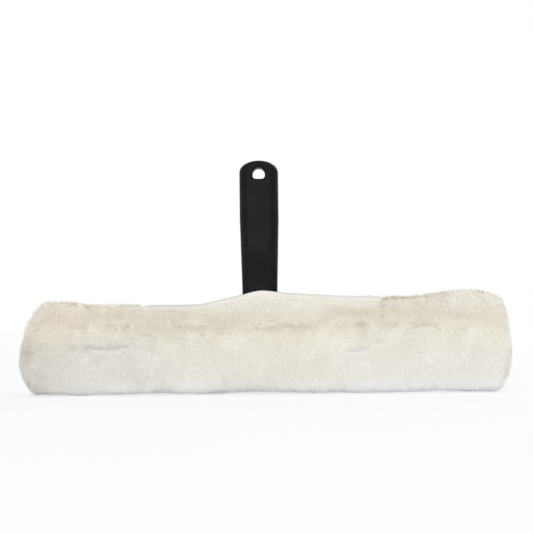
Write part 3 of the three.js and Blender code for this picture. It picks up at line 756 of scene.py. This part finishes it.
def build_cover(sleeve):
    """The sleeve's cloth: a closed tube whose ridge is left out along the slit."""
    vertices = list(sleeve.grid.reshape(-1, 3))
    quads = sleeve.quads()
    faces = [tuple(q) for q in quads]
    for r in (0, sleeve.rows - 1):
        middle = len(vertices)
        vertices.append(sleeve.grid[r].mean(axis=0))
        ring = [r * sleeve.count + i for i in range(sleeve.count)]
        if r:
            ring.reverse()
        faces += [(a, b, middle) for a, b in zip(ring, ring[1:] + ring[:1])]
    cover = make_object("sleeve_cover", vertices, faces)
    with edited(cover) as shape:
        loose = [v for v in shape.verts if not v.link_faces]
        bmesh.ops.delete(shape, geom=loose, context="VERTS")
    return cover, quads


def build_lining():
    """The sleeve's inside, which follows the foot and the bar below the slit."""
    rings = []
    for x in np.linspace(-LINING_HALF, LINING_HALF, 120):
        at_foot = 1 - float(smooth_step(FOOT_HALF + 1.5 * MM, FOOT_HALF + 6 * MM, abs(x)))
        at_rivet = float(bell(abs(x) - RIVET_PLACE, RIVET_REACH))
        wall = mix(LINING_AT_BAR, LINING_AT_FOOT, at_foot)
        edge = min(float(lip_outer(x)) - PILE_ROOT - BACKING, LINING_AT_EDGE)
        half = [(edge, LIP_ROOT - 0.9 * MM), (max(edge, wall) + 0.4 * MM, LIP_ROOT - 4.5 * MM)]
        half += [(wall + bulge * at_rivet, height) for height, bulge in LINING_WALL]
        half += [(wall * 0.75, LINING_LOW), (0, LINING_LOW - 0.4 * MM)]
        ring = with_mirror(even_points(np.array(half), 22), closed=False)
        ring = np.concatenate([np.full((len(ring), 1), x), ring], axis=1)
        ruffle = 0.35 * MM * noise(ring[1:-1], 11 * MM, SEED + 50)[:, None]
        ring[1:-1, 1:] += ruffle * np.sign(ring[1:-1, 1:2])
        rings.append(ring)
    count = len(rings[0])
    faces = grid_quads(len(rings), count, range(count - 1))
    lining = make_object("sleeve_lining", np.concatenate(rings), faces)
    thicken(lining, LINING, offset=1)
    return lining


# Fibres
def scatter(rng, points, normals, quads):
    """Roots of fibres spread evenly over the quads, fewer in the partings, and which way is out at each."""
    corner = points[quads]
    area = np.linalg.norm(np.cross(corner[:, 2] - corner[:, 0], corner[:, 3] - corner[:, 1]), axis=1) / 2
    wanted = int(area.sum() * FIBRES_PER_M2)
    pick = rng.choice(len(quads), size=wanted, p=area / area.sum())
    u, v = rng.random((2, wanted, 1))
    weights = [(1 - u) * (1 - v), u * (1 - v), u * v, (1 - u) * v]
    root = sum(w * corner[pick, k] for k, w in enumerate(weights))
    normal = unit(sum(w * normals[quads[pick, k]] for k, w in enumerate(weights)))
    kept = rng.random(wanted) > 0.75 * np.clip(parting_depth(root) / (1.3 * MM), 0, 1)
    return root[kept], normal[kept]


def brush(rng, root, normal):
    """Along the cloth, which way each fibre lies, and how far off its tuft's centre is."""
    nap = noise_vectors(root, 26 * MM, SEED + 30) * NAP_WANDER
    nap += noise_vectors(root, 5 * MM, SEED + 34) * NAP_RUFFLE
    step = np.array((0, 0, 1.6 * MM))
    nap[:, 2] -= NAP_DOWN + NAP_INTO_PARTING * (parting_depth(root + step) - parting_depth(root - step)) / MM
    nap += rng.normal(size=root.shape) * NAP_STRAY
    pull = nearest_tuft(root)[0] - root
    nap += pull / TUFT * NAP_GATHER
    nap = unit(nap - normal * np.sum(nap * normal, axis=1, keepdims=True))
    pull -= normal * np.sum(pull * normal, axis=1, keepdims=True)
    return nap, pull


def plant(name, points, normals, quads):
    """Brushed pile on the quads: thin blades that lie along the nap, gather into tufts and face outwards."""
    rng = np.random.default_rng(SEED + sum(map(ord, name)))
    root, normal = scatter(rng, points, normals, quads)
    nap, pull = brush(rng, root, normal)
    single = (len(root), 1)
    reach = FIBRE_LENGTH * (0.7 + 0.6 * rng.random(single))
    reach *= 1 - 0.3 * np.clip(parting_depth(root) / MM, 0, 1)[:, None]
    rise = RISE_LEAST + RISE_SPREAD * rng.random(single)
    rise = np.radians(rise + RISE_WANDER * noise(root, 8 * MM, SEED + 38)[:, None])
    tip_rise = rise * (0.2 + 1.0 * rng.random(single))
    direction = nap * np.cos(rise) + normal * np.sin(rise)
    root = root - normal * 0.3 * MM
    middle = root + direction * reach * 0.5 + pull * 0.15
    tip = middle + (nap * np.cos(tip_rise) + normal * np.sin(tip_rise)) * reach * 0.5 + pull * 0.3
    roll = rng.normal(size=single) * 0.35
    facing = unit(normal * np.cos(roll) + np.cross(normal, direction) * np.sin(roll))
    side = unit(np.cross(direction, facing)) * FIBRE_WIDTH / 2
    for place in (root, middle, tip):
        place[:, 2] = np.maximum(place[:, 2], FIBRE_FLOOR)
    blades = np.stack([root - side, root + side, middle + side * 0.9, middle - side * 0.9, tip], axis=1)
    return add_piece(name, blade_mesh(name, blades))


def blade_mesh(name, blades):
    """A quad and a triangle on the five points of each blade."""
    count = len(blades)
    nth = np.arange(count)[:, None]
    corners = np.concatenate([nth * 5 + [0, 1, 2, 3], nth * 5 + [3, 2, 4]], axis=1)
    starts = np.concatenate([nth * 7, nth * 7 + 4], axis=1)
    mesh = bpy.data.meshes.new(name)
    mesh.vertices.add(5 * count)
    mesh.vertices.foreach_set("co", blades.astype(np.float32).ravel())
    mesh.loops.add(7 * count)
    mesh.loops.foreach_set("vertex_index", corners.astype(np.int32).ravel())
    mesh.polygons.add(2 * count)
    mesh.polygons.foreach_set("loop_start", starts.astype(np.int32).ravel())
    mesh.update(calc_edges=True)
    return mesh


# Lips
def outward(line):
    """Unit normals of a line that runs up a lip's outside, over its edge and down its inside."""
    run = unit(np.gradient(line, axis=0))
    return np.stack([run[:, 1], -run[:, 0]], -1)


def lip_line(sleeve, row, side):
    """A lip's section from its root outside, over its edge, to its root inside."""
    x = sleeve.outer[row, 0, 0]
    inner = float(lip_inner(x))
    line = sleeve.side_line(row, side, RIDGE_POINTS + 1)
    line[:2] += LIP_TUCK
    stop = inner + LIP_CROWN
    past = int(np.argmax(line[:, 0] < stop)) if (line[:, 0] < stop).any() else len(line) - 1
    a, b = line[past - 1], line[past]
    t = (a[0] - stop) / max(a[0] - b[0], 1e-9)
    shape = np.concatenate([line[:past], [a + (b - a) * t]])
    shift = float(slit_edge(x)) - HEM_STAND - shape[-1, 1]
    shape[:, 1] += shift * smooth_step(LIP_ROOT + 2 * MM, shape[-1, 1], shape[:, 1])
    wall = even_points(shape, LIP_OUTSIDE)
    turn = np.linspace(0, math.pi / 2, 6)[1:]
    crown = shape[-1] + np.stack([-LIP_CROWN * np.sin(turn), -LIP_CROWN * (1 - np.cos(turn))], -1)
    inside = np.stack([np.full(10, inner), np.linspace(crown[-1, 1], LIP_LOW, 11)[1:]], -1)
    return np.concatenate([wall, crown, inside])


def lip_sections(sleeve, side):
    x = sleeve.outer[sleeve.slit, 0, 0].copy()
    x[0] += LIP_END_GAP
    x[-1] -= LIP_END_GAP
    return x, np.array([lip_line(sleeve, row, side) for row in sleeve.slit])


def in_space(x, lines, side):
    across = np.broadcast_to(x[:, None, None], lines.shape[:2] + (1,))
    return np.concatenate([across, lines * (side, 1)], -1)


def build_lip(name, x, lines, side):
    """A lip's cloth, and the points, normals and quads of its outside that bear pile."""
    grid = in_space(x, lines, side)
    lip = loft(name, list(grid))
    count = grid.shape[1]
    for k in range((len(x) - 1) * count):
        lip.data.polygons[k].material_index = int(k % count >= LIP_OUTSIDE)
    wall = grid[:, :LIP_OUTSIDE]
    normals = unit(np.cross(np.gradient(wall, axis=0), np.gradient(wall, axis=1)))
    normals *= np.sign(normals @ np.array((0, side, 0.6)))[..., None]
    points = wall.reshape(-1, 3)
    bare = HEM_BARE * (1 - smooth_step(SLIT_HALF - HEM_DIVE_REACH, SLIT_HALF - 1 * MM, np.abs(x)))
    quads = grid_quads(len(x), LIP_OUTSIDE, range(2, LIP_OUTSIDE - 1))
    row = quads[:, 0] // LIP_OUTSIDE
    below_hem = wall[row, -1, 2] - points[quads[:, 0], 2] > bare[row]
    return lip, points, normals.reshape(-1, 3), quads[below_hem]


def hem_lines(x, lines):
    """Lines on a lip's skin that the tape follows, and how far the puckered tape stands off them."""
    fine = np.linspace(x[0], x[-1], 2 * len(x))
    skins, stands = [], []
    for at in fine:
        k = min(max(int(np.searchsorted(x, at)) - 1, 0), len(x) - 2)
        line = mix(lines[k], lines[k + 1], (at - x[k]) / (x[k + 1] - x[k]))
        length = line_lengths(line)
        top = length[LIP_OUTSIDE + 2]
        leg = HEM_LEG * (1 - HEM_TAPER * float(in_dive(at)))
        skin = even_points(line, 26, (top - leg - LIP_CROWN) / length[-1], (top + leg) / length[-1])
        pucker = 0.10 * math.sin(2 * math.pi * at / STITCH_PITCH) + 0.16 * math.sin(at / (11 * MM))
        place = np.linspace(-1, 1, len(skin))
        stand = HEM_STAND * (1 - 0.45 * place**8) + pucker * MM * np.abs(place)
        skins.append(skin)
        stands.append(np.where(place > 0.25, np.minimum(stand, 0.45 * MM), stand))
    return fine, np.array(skins), np.array(stands)


def build_hem(name, x, lines, side):
    """Woven tape folded over a lip's edge."""
    fine, skins, stands = hem_lines(x, lines)
    rings = []
    for skin, stand in zip(skins, stands):
        normals = outward(skin)
        outer = skin + normals * stand[:, None]
        core = skin + normals * (stand - HEM_TAPE)[:, None]
        rings.append(np.concatenate([outer, core[::-1]]))
    return loft(name, list(in_space(fine, np.array(rings), side)))


def build_stitches(name, x, lines, side):
    """Running stitches through both legs of the tape."""
    fine, skins, stands = hem_lines(x, lines)
    places = np.arange(STITCH_END_GAP - SLIT_HALF, SLIT_HALF - STITCH_END_GAP, STITCH_PITCH)
    places = places[(places >= x[0]) & (places < x[-1])]
    along, around = np.linspace(-1, 1, 7), 6
    vertices, faces = [], []
    for column, lift in ((4, 0.1 * MM), (-4, 0.05 * MM)):
        normals = np.array([outward(skin)[column] for skin in skins])
        middle = skins[:, column] + normals * (stands[:, column] + lift)[:, None]
        for at in places:
            centre = np.stack([np.interp(at + along * STITCH / 2, fine, middle[:, k]) for k in range(2)], -1)
            normal = np.array([np.interp(at, fine, normals[:, k]) for k in range(2)])
            across = np.array([-normal[1], normal[0]])
            centre -= normal * (0.3 * MM * along**4)[:, None]
            faces += ring_faces(len(along), around, first=len(vertices))
            for t, (out, height) in zip(along, centre):
                radius = THREAD / 2 * math.sqrt(max(1 - t**6, 0.04))
                for k in range(around):
                    turn = 2 * math.pi * k / around
                    offset = (normal * math.cos(turn) + across * math.sin(turn)) * radius
                    vertices.append((at + t * STITCH / 2, (out + offset[0]) * side, height + offset[1]))
    stitches = make_object(name, vertices, faces)
    face_outwards(stitches)
    return stitches


# Fastening tapes
def rounded_outline(low, high, corner):
    """A box's rectangle in X and Z, with round corners."""
    left, right = low.x + corner, high.x - corner
    bottom, top = low.z + corner, high.z - corner
    outline = []
    for x, z, start in ((right, top, 0), (left, top, 90), (left, bottom, 180), (right, bottom, 270)):
        for degrees in range(start, start + 91, 15):
            turn = math.radians(degrees)
            outline.append((x + corner * math.cos(turn), z + corner * math.sin(turn)))
    return np.array(outline)


def build_tape(name, node, side, hooks):
    """A patch of fastening tape inside a lip: a rounded strip with rows of hooks or fluffy loops."""
    low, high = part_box(node)
    back = max(abs(low.y), abs(high.y)) + TAPE_SINK
    front = back - TAPE_THICKNESS
    outline = rounded_outline(low, high, TAPE_CORNER)
    middle = outline.mean(axis=0)
    rings = []
    edge = ((back, 0), (front + TAPE_BEVEL, 0), (front, 0.4 * TAPE_BEVEL), (front, 1.6 * TAPE_BEVEL))
    for depth, shrink in edge:
        reach = 1 - shrink / np.linalg.norm(outline - middle, axis=1, keepdims=True)
        rings.append([(x, side * depth, z) for x, z in middle + (outline - middle) * reach])
    strip = loft(name, rings)
    rng = np.random.default_rng(SEED + sum(map(ord, name)))
    columns = int((high.x - low.x - NAP_MARGINS[0]) / NAP_PITCH)
    rows = int((high.z - low.z - NAP_MARGINS[1]) / NAP_PITCH)
    vertices, faces = [], []
    for i, j in itertools.product(range(columns), range(rows)):
        x = (low.x + high.x) / 2 + (i - (columns - 1) / 2) * NAP_PITCH
        z = (low.z + high.z) / 2 + (j - (rows - 1) / 2) * NAP_PITCH
        first = len(vertices)
        line, turn = hook_line(j) if hooks else loop_line(rng)
        width = HOOK_WIDTH if hooks else LOOP_WIDTH
        across, along = math.sin(turn), math.cos(turn)
        for out, up in line:
            y = side * (front - up)
            for half in (-width / 2, width / 2):
                vertices.append((x + out * across + half * along, y, z + out * along - half * across))
        faces += [(a, a + 1, a + 3, a + 2) for a in range(first, len(vertices) - 2, 2)]
    nap = make_object(name + ("_hooks" if hooks else "_loops"), vertices, faces)
    thicken(nap, NAP_THICKNESS, offset=0)
    return strip, nap


def hook_line(row):
    """How far out and up a hook goes, and its turn. Every other row looks the other way."""
    bow = HOOK_BOW * (-1 if row % 2 else 1)
    swings = np.linspace(0, 1, 7) * math.pi * 0.82
    return [(bow * (1 - math.cos(s)), HOOK_RISE * min(1, 1.35 * math.sin(s))) for s in swings], 0.0


def loop_line(rng):
    """How far out and up a loop goes, and its turn, which is left to chance as its height is."""
    turn = rng.random() * math.pi
    rise = LOOP_RISE + LOOP_EXTRA * rng.random()
    swings = np.linspace(0, 1, 7) * math.pi
    return [(-LOOP_BOW * math.cos(s), rise * math.sin(s)) for s in swings], turn


# Handle
def grip_section(z):
    """Points round the grip: flat panels, bevelled flanks and rounded sides, as X and Y."""
    neck, straight = BAR_HIGH.z + NECK_ABOVE_BAR, HANDLE_TIP - STRAIGHT
    width = mix(NECK_HALF_WIDTH, GRIP_HALF_WIDTH, min(max((z - neck) / (straight - neck), 0), 1))
    deep = float(smooth_step(neck, neck + SWELL, z))
    depth = mix(NECK_HALF_DEPTH, GRIP_HALF_DEPTH, deep)
    bevel = mix(NECK_BEVEL, GRIP_BEVEL, deep)
    quarter = np.array(
        [
            (0, depth),
            (0.3 * width, depth - 0.03 * MM),
            (0.60 * width, depth - 0.22 * MM),
            (0.66 * width, depth - 0.45 * MM),
            (0.86 * width, depth - bevel),
            (0.965 * width, depth - bevel - 0.22 * depth),
            (width, 0.25 * depth),
            (width, 0),
        ]
    )
    for _ in range(4):
        a, b = quarter[:-1], quarter[1:]
        cuts = np.stack([0.75 * a + 0.25 * b, 0.25 * a + 0.75 * b], 1).reshape(-1, 2)
        quarter = np.concatenate([quarter[:1], cuts, quarter[-1:]])
    quarter = even_points(quarter, GRIP_POINTS // 4 + 1)
    return with_mirror(with_mirror(quarter, (1, -1), closed=False))


def build_grip():
    """The grip from the bar up. Its tip is rounded, domed from side to side, and closed by quads."""
    radius = (GRIP_HALF_WIDTH**2 + DOME_RISE**2) / (2 * DOME_RISE)
    edge = HANDLE_TIP - TIP_ROUND
    levels = list(np.linspace(GRIP_START, edge, 90))
    levels += [HANDLE_TIP - TIP_ROUND * (1 - math.sin(t)) for t in np.linspace(0, math.pi / 2, 12)[1:]]
    vertices = []
    for z in levels:
        flat = grip_section(min(z, edge))
        into = max(z - edge, 0) / TIP_ROUND
        inset = TIP_ROUND * (1 - math.sqrt(max(1 - into**2, 0)))
        half_x, half_y = np.abs(flat).max(axis=0)
        flat = flat * ((half_x - inset) / half_x, (half_y - inset) / half_y)
        bend = float(smooth_step(HANDLE_TIP - DOME_START, HANDLE_TIP - DOME_END, z))
        drop = np.sqrt(radius**2 - flat[:, 0] ** 2) - radius
        vertices += [(x, y, z + d * bend) for (x, y), d in zip(flat, drop)]
    *faces, bottom, _ = ring_faces(len(levels), GRIP_POINTS)
    top, half = len(vertices) - GRIP_POINTS, GRIP_POINTS // 2
    for start in (0, half):
        for i in range(half // 2):
            near, far = start + i, start + half - i
            faces.append((top + near, top + near + 1, top + far - 1, top + far % GRIP_POINTS))
    grip = make_object("grip", vertices, faces + [bottom])
    face_outwards(grip)
    return grip


def hole_outline(grow):
    """The hang hole's outline, this much larger all round: an arch over a sill with round corners."""
    half, corner = HOLE_HALF + grow, HOLE_CORNER + grow
    top = HANDLE_TIP - HOLE_BELOW_TIP + grow
    sill = HANDLE_TIP - HOLE_BELOW_TIP - HOLE_HEIGHT - grow
    arch = [(half * math.cos(t), top - half + half * math.sin(t)) for t in np.linspace(0, math.pi, 25)]
    turns = np.linspace(0, math.pi / 2, 7)
    left = [(-half + corner * (1 - math.cos(t)), sill + corner * (1 - math.sin(t))) for t in turns]
    return arch + left + [(-x, z) for x, z in reversed(left)]


def build_hole_cutter():
    """What is cut from the grip for the hang hole, wider towards both faces."""
    rings = []
    for y in CUTTER_PLACES:
        from_face = max(GRIP_HALF_DEPTH - abs(y), 0)
        grow = HOLE_FLARE * max(1 - from_face / HOLE_FLARE_DEPTH, 0) ** HOLE_FLARE_POWER
        rings.append([(x, y, z) for x, z in hole_outline(grow)])
    return loft("hole", rings)


def build_handle():
    """The moulded handle: its grip, and the foot and webs that hold the bar, with soft edges."""
    moulding = bpy.data.objects.new("handle_moulding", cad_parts["handle"].data.copy())
    bpy.context.scene.collection.objects.link(moulding)
    with edited(moulding) as shape:
        bmesh.ops.bisect_plane(
            shape, geom=shape.verts[:] + shape.edges[:] + shape.faces[:],
            plane_co=(0, 0, FOOT_TOP), plane_no=(0, 0, 1), clear_outer=True,
        )
        rim = [e for e in shape.edges if e.is_boundary]
        bmesh.ops.triangle_fill(shape, edges=rim, use_beauty=True)
    boolean(moulding, build_grip(), "UNION")
    boolean(moulding, build_hole_cutter(), "DIFFERENCE")
    remesh = moulding.modifiers.new("voxels", "REMESH")
    remesh.mode, remesh.voxel_size = "VOXEL", VOXEL
    soft = moulding.modifiers.new("soft", "SMOOTH")
    soft.factor, soft.iterations = 0.5, 4
    apply_modifiers(moulding)
    moulding.data.shade_smooth()
    return moulding


# Floor, backdrop, camera and lamps
def seen_or_reflected(look):
    """1 for rays from the camera, also mirrored or passed through, and 0 for light on things."""
    rays = look.add("LightPath").outputs
    total = rays["Is Camera Ray"]
    for kind in ("Is Glossy Ray", "Is Transmission Ray"):
        total = look.math("ADD", total, rays[kind], clamp=True)
    return total


def build_studio():
    """Pale floor that curves up into a backdrop, and looks ever whiter away from the object."""
    half, back, bend, height = 6, 1.6, 0.8, 3.5
    turns = np.linspace(0, math.pi / 2, 24)
    profile = [(-half / 2, 0)]
    profile += [(back + bend * math.sin(t), bend * (1 - math.cos(t))) for t in turns]
    profile.append((back + bend, height))
    vertices = [(x, y, z) for x in (-half, half) for y, z in profile]
    count = len(profile)
    faces = [(i, i + 1, count + i + 1, count + i) for i in range(count - 1)]
    stage = make_object("studio_floor", vertices, faces)
    material, look, shader = new_material("white_paper", "MixShader")
    away = look.feed(look.add("VectorMath", operation="LENGTH"), {0: look.point()}).outputs["Value"]
    whiter = look.share(away, 0.3, 1.2, low=0.78)
    paper = look.feed(look.add("BsdfDiffuse"), {"Color": (0.94, 0.94, 0.94, 1)})
    look.feed(shader, {
        0: look.product(seen_or_reflected(look), whiter),
        1: paper.outputs[0],
        2: look.add("Emission").outputs[0],
    })
    stage.data.materials.append(material)


def build_camera():
    data = bpy.data.cameras.new("camera")
    data.lens, data.sensor_width, data.sensor_fit = LENS, SENSOR, "HORIZONTAL"
    camera = bpy.data.objects.new("camera", data)
    distance = PHOTO_PIXELS * PIXEL * LENS / SENSOR
    camera.location = LOOK_AT - Vector((0, distance, 0))
    turn = Matrix.Rotation(math.pi / 2, 3, "X") @ Matrix.Rotation(-ROLL, 3, "Z")
    camera.rotation_euler = turn.to_euler()
    bpy.context.scene.collection.objects.link(camera)
    bpy.context.scene.camera = camera


def add_lamp(name, place, target, size, watts):
    data = bpy.data.lights.new(name, "AREA")
    data.shape, data.size, data.size_y, data.energy = "RECTANGLE", *size, watts
    lamp = bpy.data.objects.new(name, data)
    lamp.location = place
    lamp.rotation_euler = (Vector(target) - Vector(place)).to_track_quat("-Z", "Y").to_euler()
    bpy.context.scene.collection.objects.link(lamp)


def light_scene():
    world = bpy.data.worlds.new("studio")
    bpy.context.scene.world = world
    look = Look(world)
    strength = look.share(seen_or_reflected(look), 0, 1, low=0.56)
    look.feed(look.nodes["Background"], {"Color": (1, 1, 1, 1), "Strength": strength})
    add_lamp("front_softbox", (-0.15, -1.3, 0.25), (0, 0, 0.04), (1.1, 0.48), 6.15)
    add_lamp("top_softbox", (0.2, -0.25, 1.2), (0, 0, 0.05), (1.0, 0.6), 3.9)
    add_lamp("rear_softbox", (0.5, 1.25, 0.65), (0, 0, 0.05), (0.8, 0.8), 6.6)


# Pieces put together
def paint(piece, *materials):
    for material in materials:
        piece.data.materials.append(material)


def follow_lip(piece, end):
    """Bakes the piece's placement into its mesh, the same for a lip's middle and its ends."""
    if end:
        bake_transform(piece)
    else:
        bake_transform(piece)


build_camera()
build_studio()
light_scene()

pile = pile_material("cream_pile")
# Backing is darker than the pile: its own colour, and partly painted shade where it shows through the
# partings and the seam
backing = pile_material("pile_backing", lift=0.84)
knit = woven_material("knit_backing", (0.80, 0.775, 0.72), (0.68, 0.65, 0.59), 260)
hem_tape = woven_material("hem_weave", (0.905, 0.865, 0.81), (0.825, 0.78, 0.72), 620, top_shade_and_left_grey=True)
thread = woven_material("sewing_thread", (0.86, 0.83, 0.79), (0.70, 0.67, 0.62), 900)
hook_nylon = woven_material("hook_nylon", (0.80, 0.79, 0.76), (0.66, 0.65, 0.62), 500)
loop_nylon = woven_material("loop_nylon", (0.80, 0.785, 0.75), (0.66, 0.645, 0.61), 500)
plastic = plastic_material()
metal = metal_material()

sleeve = Sleeve()
cover, cover_quads = build_cover(sleeve)
paint(cover, backing, knit)
thicken(cover, BACKING, offset=-1, inner_slot=1)
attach(cover, ROOT)
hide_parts("sleeve_tube", "sleeve_end_left", "sleeve_end_right")

lining = build_lining()
paint(lining, knit)
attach(lining, ROOT)

cover_points, cover_normals = sleeve.grid.reshape(-1, 3), sleeve.normals.reshape(-1, 3)
middles = cover_points[cover_quads].mean(axis=1)
in_front, at_left = middles[:, 1] < 0, middles[:, 0] < 0
for name, chosen in (
    ("front_pile_left", in_front & at_left),
    ("front_pile_right", in_front & ~at_left),
    ("rear_pile_left", ~in_front & at_left),
    ("rear_pile_right", ~in_front & ~at_left),
):
    fibres = plant(name, cover_points, cover_normals, cover_quads[chosen])
    paint(fibres, pile)
    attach(fibres, ROOT)

for side, body, label in ((-1, FRONT_FLAP, "front"), (1, REAR_FLAP, "rear")):
    all_x, all_lines = lip_sections(sleeve, side)
    first, last = np.searchsorted(all_x, (-LIP_FREE, LIP_FREE))
    lengths = {"": slice(first, last + 1), "left": slice(0, first + 1), "right": slice(last, None)}
    for end, part in lengths.items():
        x, lines, suffix = all_x[part], all_lines[part], end and "_" + end
        lip, points, normals, quads = build_lip(f"{label}_lip_cloth{suffix}", x, lines, side)
        paint(lip, backing, knit)
        follow_lip(lip, end)
        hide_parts(f"{label}_lip")
        fibres = plant(f"{label}_lip_pile{suffix}", points, normals, quads)
        paint(fibres, pile)
        follow_lip(fibres, end)
        hem = build_hem(f"{label}_hem_tape{suffix}", x, lines, side)
        paint(hem, hem_tape)
        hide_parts(f"{label}_hem")
        stitches = build_stitches(f"{label}_hem_stitches{suffix}", x, lines, side)
        paint(stitches, thread)
        for piece in (hem, stitches):
            if end:
                follow_lip(piece, end)
            else:
                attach(piece, body)
    kind, hooks = ("hook", True) if side < 0 else ("loop", False)
    for end in ("left", "right"):
        node = f"{kind}_tape_{end}"
        strip, nap = build_tape(f"{node}_strip", node, side, hooks)
        for piece in (strip, nap):
            paint(piece, hook_nylon if hooks else loop_nylon)
            follow_lip(piece, end)
        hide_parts(node)

moulding = build_handle()
moulding.data.materials.clear()
paint(moulding, plastic)
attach(moulding, ROOT)
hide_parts("handle")

for node in ("bar_plug_left", "bar_plug_right"):
    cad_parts[node].material_slots[0].material = plastic
for node in ("crossbar", "rivet_left", "rivet_right"):
    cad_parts[node].material_slots[0].material = metal

bpy.context.scene.view_settings.view_transform = "Standard"
bpy.context.scene.cycles.diffuse_bounces = 12  # pale pile passes light on many times
